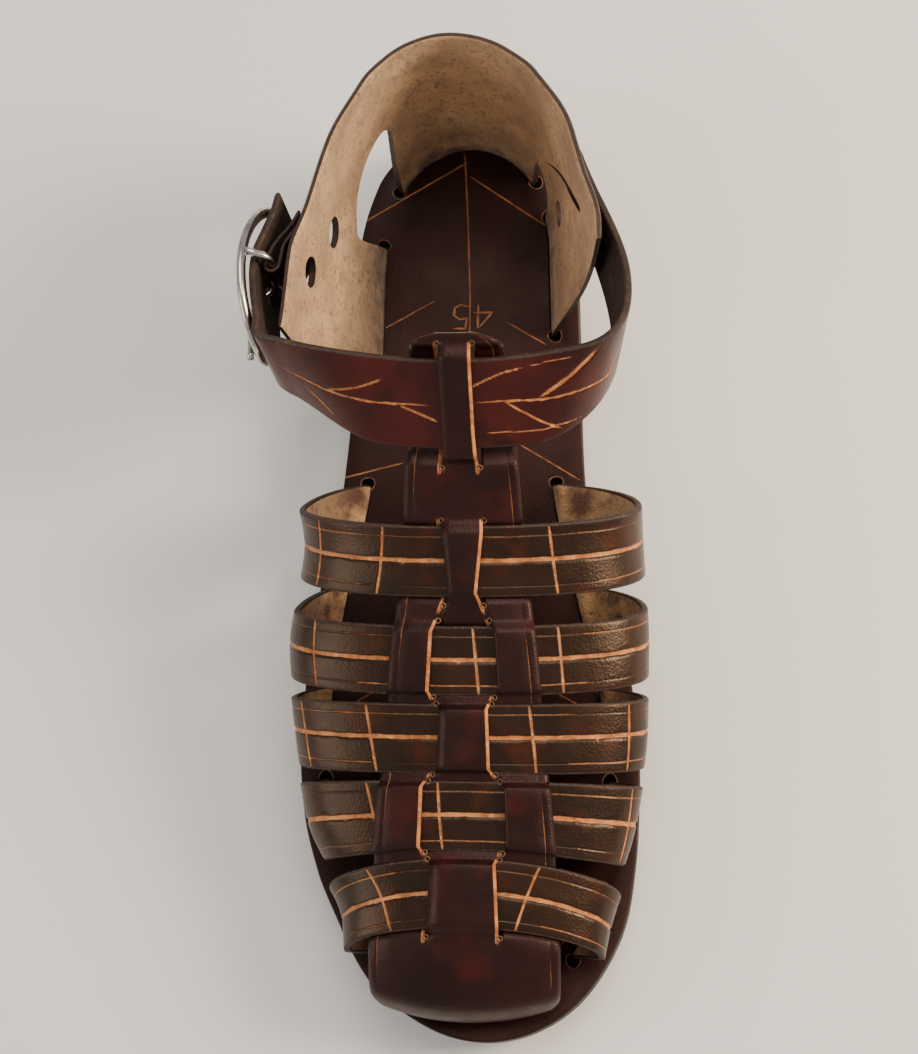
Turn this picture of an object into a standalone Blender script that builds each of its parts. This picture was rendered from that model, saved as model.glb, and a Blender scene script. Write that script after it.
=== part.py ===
"""Huarache sandal, the wearer's right shoe, as separate pieces.

Metres, +Z up. The toe points to -Y and the heel to +Y; the medial side is +X. The floor is z = 0.
A share of length runs from 0 at the toe tip to 1 at the back of the heel.
"""

import functools
import math

import bmesh
import bpy
import numpy as np
from mathutils import Vector

SOLE_LENGTH = 0.310
BALL_WIDTH = 0.110
FOREFOOT_SOLE = 0.009
HEEL_LIFT = 0.008
HEEL_BLOCK = 0.006
TOE_SPRING = 0.007
FOOTBED = 0.004
LEATHER = 0.0022
CHAPE_LEATHER = 0.0012
INSTEP_HEIGHT = 0.055
COUNTER_HEIGHT = 0.076
GAP = 0.0003
SLOT_PLAY = 0.0006
SLOT_HOLE = 0.0022
LATERAL_INSET = 0.0082
MEDIAL_INSET = 0.0095
HEEL_INSET = 0.0082
TREAD_EDGE = 0.0015
FOOTBED_EDGE = 0.0008
FOOTBED_SET_IN = 0.0005

STRAP_WIDTH = 0.0210
ANKLE_WIDTH = 0.0270
RIDGE_X = 0.003
ARCH_POWER = 2.3
WEAVE_BITE = 0.0005
SLIT_HALF = 0.0004
RAMP = 0.0045
STEM = 0.0012

TOE_TAB_CORNER = 0.0015
HEEL_TAB = (-0.028, 0.031)
LATERAL_TAB = (0.053, 0.098)
MEDIAL_TAB = (-0.086, -0.043)
LATERAL_FRONT = 0.117
MEDIAL_FRONT = -0.090
RIVET_HOLE = 0.0100

ANKLE_FALL = math.radians(33)
BUCKLE_LENGTH = 0.053
BUCKLE_HEIGHT = 0.040
BUCKLE_ARCH = 0.0035
BUCKLE_CREST = 0.0020
BUCKLE_ROD = 0.0028
BAR_ROD = 0.0024
PRONG_ROD = 0.0020
BUCKLE_TILT = math.radians(13)
BAR_ROUND = 0.097
BAR_RISE = 0.069
BAR_OFF = 0.0056
CHAPE_WIDTH = 0.021
CHAPE_SLOT = 0.0050
CHAPE_LENGTH = 0.034
PRONG_HOLE = 0.0040
PRONG_RISE = 0.0036
TAIL_LIFT = 0.0002
THREAD_PLAY = 0.0008

# Plan of the sole: share of length, centre and half width as shares of the ball width.
SOLE = (
    (0.000, 0.068, 0.000),
    (0.012, 0.068, 0.150),
    (0.055, 0.056, 0.312),
    (0.108, 0.050, 0.400),
    (0.165, 0.028, 0.456),
    (0.225, 0.010, 0.487),
    (0.285, 0.001, 0.498),
    (0.362, -0.008, 0.485),
    (0.466, -0.027, 0.432),
    (0.577, -0.031, 0.367),
    (0.680, -0.028, 0.349),
    (0.848, -0.036, 0.340),
    (0.927, -0.036, 0.291),
    (0.966, -0.036, 0.216),
    (1.000, -0.036, 0.000),
)

# The last over the foot, from the toe slot up the instep.
# share: of the sole length at the ridge. rise: share of INSTEP_HEIGHT above the footbed.
# tongue, lateral, medial, bow: shares of the ball width, for the tongue's half width, the reach
# of the straps to either side of the ridge, and the backward bow of the plan 30 mm off it.
# side: height of the widest point as a share of the rise. slot: share of length of the slot.
LAST = (
    ("share", "rise", "tongue", "side", "lateral", "medial", "slot", "bow"),
    (0.0260, 0.00, 0.200, 0.45, 0.355, 0.355, 0.038, 0.060),
    (0.0215, 0.11, 0.236, 0.45, 0.355, 0.355, 0.038, 0.050),
    (0.0295, 0.26, 0.258, 0.42, 0.350, 0.355, 0.042, 0.040),
    (0.0560, 0.38, 0.262, 0.40, 0.340, 0.360, 0.055, 0.020),
    (0.0900, 0.465, 0.262, 0.38, 0.335, 0.365, 0.078, -0.010),
    (0.1370, 0.54, 0.255, 0.38, 0.345, 0.385, 0.117, -0.022),
    (0.2100, 0.63, 0.240, 0.42, 0.455, 0.455, 0.226, -0.008),
    (0.2810, 0.73, 0.220, 0.50, 0.495, 0.488, 0.323, 0.000),
    (0.3530, 0.84, 0.202, 0.56, 0.512, 0.492, 0.432, 0.000),
    (0.4450, 1.00, 0.172, 0.55, 0.472, 0.476, 0.541, 0.000),
    (0.5030, 1.115, 0.160, 0.75, 0.490, 0.470, 0.600, 0.010),
    (0.5450, 1.235, 0.148, 0.93, 0.500, 0.460, 0.640, 0.025),
    (0.5770, 1.390, 0.136, 0.93, 0.500, 0.460, 0.660, 0.025),
    (0.6080, 1.545, 0.128, 0.93, 0.500, 0.460, 0.680, 0.025),
    (0.6230, 1.620, 0.120, 0.93, 0.500, 0.460, 0.690, 0.025),
    (0.6285, 1.640, 0.070, 0.93, 0.500, 0.460, 0.690, 0.025),
)

# Straps from the toe up: crown and slot as shares of length, the half width of the tongue's
# middle band at the strap's toe side and heel side as shares of the ball width, and whether the
# tongue's margins pass over the strap (1) or its middle band does (-1).
STRAPS = (
    ("name", "crown", "slot", "toe_band", "heel_band", "margins"),
    ("strap_5", 0.1370, 0.117, 0.100, 0.092, -1),
    ("strap_4", 0.2097, 0.226, 0.112, 0.106, 1),
    ("strap_3", 0.2815, 0.323, 0.076, 0.070, -1),
    ("strap_2", 0.3540, 0.432, 0.090, 0.080, 1),
    ("strap_1", 0.4450, 0.541, 0.042, 0.060, -1),
)
ANKLE = ("ankle", 0.5770, 0.660, 0.046, 0.046, -1)

# The heel counter's wall: distance round the heel in metres (lateral is +), its lean outwards at
# the top as a share of the ball width, and its height as a share of COUNTER_HEIGHT.
COUNTER = (
    ("round", "lean", "height"),
    (-0.092, 0.158, 1.075),
    (-0.084, 0.158, 1.070),
    (-0.065, 0.118, 1.045),
    (-0.048, 0.082, 1.020),
    (-0.032, 0.035, 1.000),
    (-0.018, 0.005, 0.990),
    (0.000, -0.012, 0.985),
    (0.020, 0.000, 0.985),
    (0.035, 0.015, 1.000),
    (0.055, 0.058, 1.020),
    (0.075, 0.098, 1.045),
    (0.092, 0.138, 1.070),
    (0.117, 0.145, 1.090),
)
COUNTER_BULGE = 0.0025

# Windows in the counter between its heel tab and side tabs: distance round and height, in metres.
LATERAL_WINDOW = ((0.0310, -0.010), (0.0310, 0.001), (0.0260, 0.0290), (0.0260, 0.0350),
                  (0.0300, 0.0390), (0.0400, 0.0395), (0.0520, 0.0350), (0.0610, 0.0295),
                  (0.0625, 0.0265), (0.0535, 0.001), (0.0530, -0.010))
MEDIAL_WINDOW = ((-0.0280, -0.010), (-0.0280, 0.014), (-0.0310, 0.0165), (-0.0380, 0.0145),
                 (-0.0430, 0.008), (-0.0430, -0.010))
MEDIAL_SLIT = ((-0.0360, 0.0270), (-0.0370, 0.0270), (-0.0700, 0.0580), (-0.0705, 0.0610),
               (-0.0680, 0.0610))
RIVET_HOLES = ((0.071, 0.051), (0.090, 0.063))
MEDIAL_HOLE = (-0.052, 0.021, 0.0085)

# The ankle strap beside the crown, outside the counter: x, share of length, height above the
# floor-side of the waist in metres, and the lean of its width back and outwards in degrees.
ANKLE_MEDIAL = (
    ("x", "share", "rise", "back", "out"),
    (0.0380, 0.5980, 0.0765, 30, 8),
    (0.0460, 0.6160, 0.0755, 24, 9),
    (0.0495, 0.6390, 0.0740, 20, 10),
    (0.0505, 0.6620, 0.0720, 20, 10),
    (0.0502, 0.6840, 0.0695, 23, 10),
)
ANKLE_LATERAL = (
    ("x", "share", "rise", "back", "out"),
    (-0.0380, 0.5980, 0.0765, 30, 8),
    (-0.0475, 0.6140, 0.0770, 20, 9),
)
# Where it lies against the counter's medial wall: distance round and height.
ANKLE_MEDIAL_WALL = ((-0.0480, 0.0380), (-0.0560, 0.0445), (-0.0640, 0.0510), (-0.0720, 0.0570))
# Where it passes under the buckle: distance ahead of the bar and distance outside its middle.
ANKLE_BUCKLE = ((0.0270, 0.0004), (0.0200, 0.0016), (0.0100, 0.0039), (0.0020, 0.0050),
                (-0.0040, 0.0048), (-0.0110, 0.0030), (-0.0190, 0.0010), (-0.0250, 0.0004))

COLOURS = {
    "outsole": (0.018, 0.015, 0.014, 0.75, 0.0),
    "footbed": (0.050, 0.016, 0.014, 0.42, 0.0),
    "upper": (0.045, 0.016, 0.013, 0.34, 0.0),
    "ankle_strap": (0.075, 0.015, 0.013, 0.34, 0.0),
    "heel_counter": (0.050, 0.022, 0.016, 0.45, 0.0),
    "buckle_chape": (0.030, 0.012, 0.010, 0.45, 0.0),
    "buckle_frame": (0.620, 0.600, 0.560, 0.22, 1.0),
    "buckle_prong": (0.620, 0.600, 0.560, 0.22, 1.0),
}


def smooth(xs, ys, at):
    """A monotone cubic through the points, which never swings past them."""
    xs = np.asarray(xs, float)
    ys = np.asarray(ys, float)
    step = np.diff(xs)
    slope = np.diff(ys) / step
    tangent = np.zeros(len(xs))
    for i in range(1, len(xs) - 1):
        if slope[i - 1] * slope[i] > 0:
            w1 = 2 * step[i] + step[i - 1]
            w2 = step[i] + 2 * step[i - 1]
            tangent[i] = (w1 + w2) / (w1 / slope[i - 1] + w2 / slope[i])
    tangent[0] = slope[0]
    tangent[-1] = slope[-1]
    at = np.clip(at, xs[0], xs[-1])
    k = np.clip(np.searchsorted(xs, at, side="right") - 1, 0, len(xs) - 2)
    t = (at - xs[k]) / step[k]
    keep = 2 * t**3 - 3 * t**2 + 1
    move = -2 * t**3 + 3 * t**2
    leave = t**3 - 2 * t**2 + t
    arrive = t**3 - t**2
    return keep * ys[k] + move * ys[k + 1] + step[k] * (leave * tangent[k] + arrive * tangent[k + 1])


def column(table, name):
    """One named column of a table whose first row holds the names."""
    place = table[0].index(name)
    return [row[place] for row in table[1:]]


def ease(t):
    t = min(max(t, 0.0), 1.0)
    return t * t * (3 - 2 * t)


def along(share):
    """Y of a share of the sole's length."""
    return (share - 0.5) * SOLE_LENGTH


def share_of(y):
    return y / SOLE_LENGTH + 0.5


def sole_sides(share):
    """X of the lateral and medial edge of the sole."""
    shares = [row[0] for row in SOLE]
    centre = smooth(shares, [row[1] for row in SOLE], share) * BALL_WIDTH
    square = smooth(shares, [row[2] ** 2 for row in SOLE], share)
    half = math.sqrt(max(square, 0.0)) * BALL_WIDTH
    return centre - half, centre + half


def spring(share):
    return TOE_SPRING * max(0.0, 1 - share / 0.20) ** 1.7


def tread(share):
    """Height of the sole's underside: flat under the ball and the heel, raised at the arch."""
    arch = HEEL_BLOCK * ease((share - 0.40) / 0.16) * (1 - ease((share - 0.655) / 0.02))
    return arch + spring(share)


def seat(share):
    """Height of the outsole's upper face."""
    return FOREFOOT_SOLE + HEEL_LIFT * ease((share - 0.36) / 0.36) + spring(share)


def bed(share):
    """Height of the footbed's upper face."""
    return seat(share) + GAP + FOOTBED


def outline(count=400):
    """The sole's edge as one closed loop, from the heel round the lateral side to the toe."""
    turns = np.linspace(0, math.pi, count)
    shares = (1 + np.cos(turns)) / 2
    lateral = [(sole_sides(s)[0], along(s)) for s in shares]
    medial = [(sole_sides(s)[1], along(s)) for s in shares[::-1]]
    return np.array(lateral[:-1] + medial[:-1])


EDGE = outline()


@functools.lru_cache(maxsize=None)
def inset_edge(inset):
    """The sole's edge moved inwards."""
    run = np.roll(EDGE, -1, axis=0) - np.roll(EDGE, 1, axis=0)
    run /= np.linalg.norm(run, axis=1)[:, None]
    inward = np.stack([-run[:, 1], run[:, 0]], axis=1)
    centre = EDGE.mean(axis=0)
    if np.mean(np.sum(inward * (centre - EDGE), axis=1)) < 0:
        inward = -inward
    return EDGE + inward * inset, -inward


def rim(side, share, inset):
    """A point inside the sole's edge: side is -1 lateral or 1 medial."""
    moved, _ = inset_edge(inset)
    half = len(moved) // 2
    part = moved[:half] if side < 0 else moved[half:]
    order = np.argsort(part[:, 1])
    return float(np.interp(along(share), part[order, 1], part[order, 0]))


class HeelLine:
    """The line on the footbed that the counter stands on, measured round from the heel's back."""

    def __init__(self):
        moved, outward = inset_edge(HEEL_INSET)
        back = int(np.argmax(moved[:, 1]))
        moved = np.roll(moved, -back, axis=0)
        outward = np.roll(outward, -back, axis=0)
        half = len(moved) // 2
        lateral = np.arange(0, half - 60)
        medial = -np.arange(1, half - 60)[::-1]
        pick = np.concatenate([medial, lateral])
        self.points = moved[pick]
        self.outward = outward[pick]
        steps = np.linalg.norm(np.diff(self.points, axis=0), axis=1)
        self.round = np.concatenate([[0], np.cumsum(steps)])
        self.round -= self.round[len(medial)]

    def at(self, distance):
        place = [np.interp(distance, self.round, self.points[:, k]) for k in (0, 1)]
        out = np.array([np.interp(distance, self.round, self.outward[:, k]) for k in (0, 1)])
        return np.array(place), out / np.linalg.norm(out)


HEEL = HeelLine()


def counter_height(distance):
    return COUNTER_HEIGHT * smooth(column(COUNTER, "round"), column(COUNTER, "height"), distance)


def wall_middle(distance, height):
    """The middle of the counter's leather at a distance round the heel and a height."""
    place, out = HEEL.at(distance)
    top = counter_height(distance)
    lean = BALL_WIDTH * smooth(column(COUNTER, "round"), column(COUNTER, "lean"), distance)
    up = max(0.0, (height - STEM) / (top - STEM))
    push = lean * up + COUNTER_BULGE * math.sin(math.pi * min(up, 1.0))
    x, y = place + out * push
    return Vector((x, y, bed(share_of(place[1])) + height))


def wall(distance, height, off=0.0):
    """A point off the counter's middle surface, outwards."""
    centre = wall_middle(distance, height)
    if off == 0.0:
        return centre
    step = 0.001
    round_way = wall_middle(distance + step, height) - wall_middle(distance - step, height)
    up_way = wall_middle(distance, height + step) - wall_middle(distance, height)
    normal = up_way.cross(round_way).normalized()
    out = HEEL.at(distance)[1]
    if normal.x * out[0] + normal.y * out[1] < 0:
        normal = -normal
    return centre + normal * off


class Ridge:
    """The curve over the instep that the tongue follows, measured along its length."""

    def __init__(self):
        y = [along(share) for share in column(LAST, "share")]
        z = [rise * INSTEP_HEIGHT for rise in column(LAST, "rise")]
        steps = [math.hypot(y[i + 1] - y[i], z[i + 1] - z[i]) for i in range(len(y) - 1)]
        self.knots = np.concatenate([[0], np.cumsum(steps)])
        self.y = y
        self.z = z
        self.length = float(self.knots[-1])
        self.runs = np.linspace(0, self.length, 800)
        self.places = [self.point(run)[0] for run in self.runs]

    def value(self, name, run):
        return float(smooth(self.knots, column(LAST, name), run))

    def point(self, run):
        return float(smooth(self.knots, self.y, run)), float(smooth(self.knots, self.z, run))

    def run_at(self, share):
        return float(np.interp(along(share), self.places, self.runs))


RIDGE = Ridge()


def over_foot(run, reach, slot_share=None):
    """A point of the upper's middle surface.

    run is measured up the ridge. reach is the distance off the ridge, medial +.
    """
    ridge_y, rise = RIDGE.point(run)
    side = "medial" if reach > 0 else "lateral"
    span = RIDGE.value(side, run) * BALL_WIDTH
    xi = min(abs(reach) / span, 1.0)
    low = RIDGE.value("side", run)
    level = low + (1 - low) * (1 - xi**ARCH_POWER) ** (1 / ARCH_POWER)
    if slot_share is None:
        slot_share = RIDGE.value("slot", run)
    back = (along(slot_share) - ridge_y) * (1 - level)
    back += RIDGE.value("bow", run) * BALL_WIDTH * (reach / 0.030) ** 2
    y = ridge_y + back
    return Vector((RIDGE_X + reach, y, bed(share_of(y)) + rise * level))


def lifted(run, reach, lift):
    """The same point moved off the surface along its normal, upwards for a positive lift."""
    centre = over_foot(run, reach)
    if lift == 0.0:
        return centre
    step = 0.0015
    low_run = max(run - step, 0.0)
    high_run = min(run + step, RIDGE.length)
    up_way = over_foot(high_run, reach) - over_foot(low_run, reach)
    across = over_foot(run, reach + step) - over_foot(run, reach - step)
    normal = across.cross(up_way).normalized()
    return centre + normal * lift


def strap_rows(crown, slot, width, count_low=4, count_high=8):
    """Rows of three points across a cross strap, from its lateral slot to its medial one."""
    middle = RIDGE.run_at(crown)
    halves = []
    for side, inset in ((-1, LATERAL_INSET), (1, MEDIAL_INSET)):
        rows = []
        for kind, step in strap_steps(count_low, count_high):
            row = [strap_point(side, inset, middle, slot, width, w, kind, step) for w in (-1, 0, 1)]
            rows.append(row)
        halves.append(rows)
    return halves[0] + halves[1][-2::-1]


def strap_steps(count_low, count_high):
    steps = [("tail", 0.0), ("stem", 0.0)]
    steps += [("low", k / count_low) for k in range(1, count_low)]
    steps += [("high", k / count_high) for k in range(count_high + 1)]
    return steps


def strap_point(side, inset, middle, slot, width, w, kind, step):
    """w is -1 on the strap's toe edge and 1 on its heel edge."""
    run = middle + w * width / 2
    slot_share = slot + w * (width / 2) / SOLE_LENGTH
    slot_x = rim(side, slot_share, inset)
    slot_y = along(slot_share)
    floor = bed(slot_share)
    if kind == "tail":
        return Vector((slot_x, slot_y, floor - FOOTBED + TAIL_LIFT))
    if kind == "stem":
        return Vector((slot_x, slot_y, floor + STEM))
    name = "medial" if side > 0 else "lateral"
    span = RIDGE.value(name, run) * BALL_WIDTH
    if kind == "high":
        turn = step * math.pi / 2
        reach = side * span * math.cos(turn) ** (2 / ARCH_POWER)
        return over_foot(run, reach if step < 1 else 0.0, slot_share)
    top = over_foot(run, side * span, slot_share)
    turn = step * math.pi / 2
    out = math.sin(turn)
    up = 0.35 * step + 0.65 * (1 - math.cos(turn))
    x = slot_x + (top.x - slot_x) * out
    y = slot_y + (top.y - slot_y) * up
    z = floor + STEM + (top.z - floor - STEM) * up
    return Vector((x, y, z))


def weave_levels():
    """Runs up the tongue with the level of its margins there and where its slits end.

    A level is 1 where the margins lie above a strap and -1 where they lie below it.
    """
    zones = []
    for row in STRAPS[1:]:
        zones.append((RIDGE.run_at(row[1]), STRAP_WIDTH / 2, row[5], 0.8 * STRAP_WIDTH / 2))
    zones.append((RIDGE.run_at(ANKLE[1]), ANKLE_WIDTH / 2, ANKLE[5], ANKLE_WIDTH / 2 + 0.0012))
    return zones


def tongue_rows():
    """Rows up the tongue: run, level of the margins, and whether the slits are closed above it."""
    zones = weave_levels()
    strap_level = LEATHER - WEAVE_BITE
    ankle_level = LEATHER + THREAD_PLAY
    rows = [(0.0, 0.0, True), (0.006, 0.0, True), (0.013, 0.0, True), (0.020, 0.0, True)]
    for i, (middle, half, margins, full) in enumerate(zones):
        level = margins * (ankle_level if i == len(zones) - 1 else strap_level)
        start = middle - full - RAMP
        if i > 0:
            last_middle, _, _, last_full = zones[i - 1]
            start = max(start, (last_middle + last_full + middle - full) / 2 + 0.0008)
        stop = middle + full + RAMP
        if i < len(zones) - 1:
            next_middle, _, _, next_full = zones[i + 1]
            stop = min(stop, (middle + full + next_middle - next_full) / 2 - 0.0008)
        for t in (0.0, 0.35, 0.65):
            rows.append((start + (middle - full - start) * t, level * ease(t), False))
        for t in (-1.0, -0.33, 0.33, 1.0):
            rows.append((middle + full * t, level, False))
        for t in (0.35, 0.65, 1.0):
            rows.append((middle + full + (stop - middle - full) * t, level * ease(1 - t), t == 1.0))
    last = rows[-1][0]
    spare = RIDGE.length - last
    rows += [(last + spare * t, 0.0, True) for t in (0.35, 0.7, 0.9, 1.0)]
    rows.sort(key=lambda row: row[0])
    filled = [rows[0]]
    for row in rows[1:]:
        run, _, closed = filled[-1]
        if closed and row[0] - run > 0.009:
            filled.append(((run + row[0]) / 2, 0.0, True))
        filled.append(row)
    return filled


def band_half(run):
    """Half width of the tongue's middle band, between its slits."""
    runs = []
    halves = []
    for row in STRAPS[1:] + (ANKLE,):
        middle = RIDGE.run_at(row[1])
        runs += [middle - 0.009, middle + 0.009]
        halves += [row[3] * BALL_WIDTH, row[4] * BALL_WIDTH]
    return float(np.interp(run, runs, halves))


def tongue_reaches(run):
    """Distances off the ridge of the tongue's twelve columns."""
    edge = RIDGE.value("tongue", run) * BALL_WIDTH
    slit = min(band_half(run), edge * 0.6)
    outer = slit + SLIT_HALF
    inner = slit - SLIT_HALF
    margin = [edge, edge + (outer - edge) / 3, edge + (outer - edge) * 2 / 3, outer]
    middle = [inner, inner / 3]
    half = margin + middle
    return [-r for r in half] + half[::-1]


def new_collection(name):
    collection = bpy.data.collections.new(name)
    bpy.context.scene.collection.children.link(collection)
    return collection


def mesh_object(name, bm, collection):
    mesh = bpy.data.meshes.new(name)
    bm.to_mesh(mesh)
    bm.free()
    item = bpy.data.objects.new(name, mesh)
    collection.objects.link(item)
    return item


def grid_object(name, rows, collection, keep=None):
    """An open surface through rows of points; keep says which cells get a face."""
    bm = bmesh.new()
    verts = [[bm.verts.new(p) for p in row] for row in rows]
    for i in range(len(rows) - 1):
        for j in range(len(rows[i]) - 1):
            if keep is None or keep(i, j):
                corners = (verts[i][j], verts[i][j + 1], verts[i + 1][j + 1], verts[i + 1][j])
                bm.faces.new(corners)
    bmesh.ops.recalc_face_normals(bm, faces=bm.faces)
    return mesh_object(name, bm, collection)


def loft_object(name, sections, collection):
    """A closed solid through closed sections, capped at both ends."""
    bm = bmesh.new()
    rings = [[bm.verts.new(p) for p in section] for section in sections]
    for a, b in zip(rings, rings[1:]):
        for k in range(len(a)):
            n = (k + 1) % len(a)
            bm.faces.new((a[k], a[n], b[n], b[k]))
    bm.faces.new(rings[0][::-1])
    bm.faces.new(rings[-1])
    bmesh.ops.recalc_face_normals(bm, faces=bm.faces)
    return mesh_object(name, bm, collection)


def thicken(item, thickness):
    wall_modifier = item.modifiers.new("leather", "SOLIDIFY")
    wall_modifier.thickness = thickness
    wall_modifier.offset = 0.0
    wall_modifier.use_even_offset = True


def combine(item, other, operation):
    cut = item.modifiers.new(other.name, "BOOLEAN")
    cut.operation = operation
    cut.object = other
    cut.solver = "EXACT"
    hide(other)


def hide(item):
    item.hide_render = True
    item.display_type = "WIRE"


def colour(item, name):
    red, green, blue, rough, metal = COLOURS[name]
    material = bpy.data.materials.new(name)
    material.use_nodes = True
    shader = material.node_tree.nodes["Principled BSDF"]
    shader.inputs["Base Color"].default_value = (red, green, blue, 1)
    shader.inputs["Roughness"].default_value = rough
    shader.inputs["Metallic"].default_value = metal
    item.data.materials.append(material)


def stations():
    """Shares of length for the sole's sections, close together at its ends and heel step."""
    shares = [(1 - math.cos(t)) / 2 for t in np.linspace(0.10, math.pi - 0.10, 30)]
    shares += [0.655, 0.675]
    return sorted(shares)


def outsole_section(share):
    lateral, medial = sole_sides(share)
    edge = min(TREAD_EDGE, (medial - lateral) / 4)
    y = along(share)
    low = tread(share)
    high = seat(share)
    return [
        (lateral + edge, y, low), (lateral, y, low + edge), (lateral, y, high),
        (medial, y, high), (medial, y, low + edge), (medial - edge, y, low),
    ]


def footbed_section(share):
    lateral, medial = sole_sides(share)
    lateral += FOOTBED_SET_IN
    medial -= FOOTBED_SET_IN
    edge = min(FOOTBED_EDGE, (medial - lateral) / 4)
    y = along(share)
    low = seat(share) + GAP
    high = bed(share)
    return [
        (lateral, y, low), (lateral, y, high - edge), (lateral + edge, y, high),
        (medial - edge, y, high), (medial, y, high - edge), (medial, y, low),
    ]


def slot_loop(path, half):
    """A slot's outline round a path, with a punched round hole at each end."""
    path = [Vector((p[0], p[1], 0)) for p in path]
    left = []
    right = []
    for i in range(len(path)):
        way = (path[min(i + 1, len(path) - 1)] - path[max(i - 1, 0)]).normalized()
        across = Vector((-way.y, way.x, 0))
        left.append(path[i] + across * half)
        right.append(path[i] - across * half)
    return left[1:-1], right[1:-1], path


def hole_arc(centre, way, half, count=9):
    """The round end of a slot, from its left side round to its right side."""
    open_angle = math.asin(half / SLOT_HOLE)
    heading = math.atan2(way.y, way.x)
    angles = np.linspace(math.pi - open_angle, -math.pi + open_angle, count)
    return [centre + Vector((math.cos(heading + a), math.sin(heading + a), 0)) * SLOT_HOLE
            for a in angles]


def slot_cutter(bm, path):
    """Adds one slot's prism to the cutter, from under the footbed to above it."""
    half = LEATHER / 2 + SLOT_PLAY
    left, right, line = slot_loop(path, half)
    first_way = (line[0] - line[1]).normalized()
    last_way = (line[-1] - line[-2]).normalized()
    loop = hole_arc(line[0], first_way, half) + left + hole_arc(line[-1], last_way, half)
    loop += right[::-1]
    middle_y = sum(p.y for p in loop) / len(loop)
    low = bed(share_of(middle_y)) - 3 * FOOTBED
    high = bed(share_of(middle_y)) + 3 * FOOTBED
    face = bm.faces.new([bm.verts.new((p.x, p.y, low)) for p in loop])
    grown = bmesh.ops.extrude_face_region(bm, geom=[face])
    tops = [v for v in grown["geom"] if isinstance(v, bmesh.types.BMVert)]
    for vert in tops:
        vert.co.z = high


def strap_slot_path(side, inset, slot):
    spread = STRAP_WIDTH / 2 + SLOT_PLAY
    shares = [slot + spread / SOLE_LENGTH * w for w in (-1, 0, 1)]
    return [(rim(side, share, inset), along(share)) for share in shares]


def heel_slot_path(ends):
    count = max(3, int(round((ends[1] - ends[0]) / 0.004)))
    distances = np.linspace(ends[0] - SLOT_PLAY, ends[1] + SLOT_PLAY, count)
    return [tuple(HEEL.at(distance)[0]) for distance in distances]


def toe_slot_path():
    reaches = tongue_reaches(0.0)
    grow = 1 + SLOT_PLAY / reaches[-1]
    points = [over_foot(0.0, reach * grow) for reach in reaches]
    return [(p.x, p.y) for p in points]


def slots(collection):
    bm = bmesh.new()
    for row in STRAPS[1:]:
        for side, inset in ((-1, LATERAL_INSET), (1, MEDIAL_INSET)):
            slot_cutter(bm, strap_slot_path(side, inset, row[2]))
    for ends in (HEEL_TAB, LATERAL_TAB, MEDIAL_TAB):
        slot_cutter(bm, heel_slot_path(ends))
    slot_cutter(bm, toe_slot_path())
    bmesh.ops.recalc_face_normals(bm, faces=bm.faces)
    return mesh_object("footbed_slots", bm, collection)


def make_sole(parts, cutters):
    outsole = loft_object("outsole", [outsole_section(s) for s in stations()], parts)
    footbed = loft_object("footbed", [footbed_section(s) for s in stations()], parts)
    combine(footbed, slots(cutters), "DIFFERENCE")
    return [outsole, footbed]


def make_upper(parts, cutters):
    """The slit tongue with its toe band, joined with the five straps woven through it."""
    rows = tongue_rows()
    foot = [over_foot(0.0, reach) for reach in tongue_reaches(0.0)]
    grid = [[Vector((p.x, p.y, p.z - FOOTBED + TAIL_LIFT)) for p in foot]]
    grid.append([Vector((p.x, p.y, p.z + STEM / 2)) for p in foot])
    for run, level, _ in rows[1:]:
        reaches = tongue_reaches(run)
        lifts = [level] * 4 + [-level] * 4 + [level] * 4
        grid.append([lifted(run, reach, lift) for reach, lift in zip(reaches, lifts)])
    closed = [True] + [row[2] for row in rows]

    def keep(i, j):
        return j not in (3, 7) or closed[i]

    upper = grid_object("upper", grid, parts, keep)
    thicken(upper, LEATHER)
    for row in STRAPS[1:]:
        strap = grid_object(row[0], strap_rows(row[1], row[2], STRAP_WIDTH), cutters)
        thicken(strap, LEATHER)
        combine(upper, strap, "UNION")
    return upper


def wall_prism(name, corners, collection, reach=0.006):
    """A cutter through the counter's wall, from corners given as distance round and height."""
    bm = bmesh.new()
    inner = [bm.verts.new(wall(d, h, -reach)) for d, h in corners]
    outer = [bm.verts.new(wall(d, h, reach)) for d, h in corners]
    bm.faces.new(inner)
    bm.faces.new(outer[::-1])
    for k in range(len(corners)):
        n = (k + 1) % len(corners)
        bm.faces.new((inner[k], outer[k], outer[n], inner[n]))
    bmesh.ops.triangulate(bm, faces=bm.faces)
    bmesh.ops.recalc_face_normals(bm, faces=bm.faces)
    return mesh_object(name, bm, collection)


def round_corners(distance, height, diameter, count=16):
    turns = [2 * math.pi * k / count for k in range(count)]
    radius = diameter / 2
    return [(distance + radius * math.cos(t), height + radius * math.sin(t)) for t in turns]


def counter_front(share_up, tab_end, front):
    """How far round the counter's front edge stands at a share of its height."""
    return tab_end + (front - tab_end) * ease(share_up / 0.85)


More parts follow.
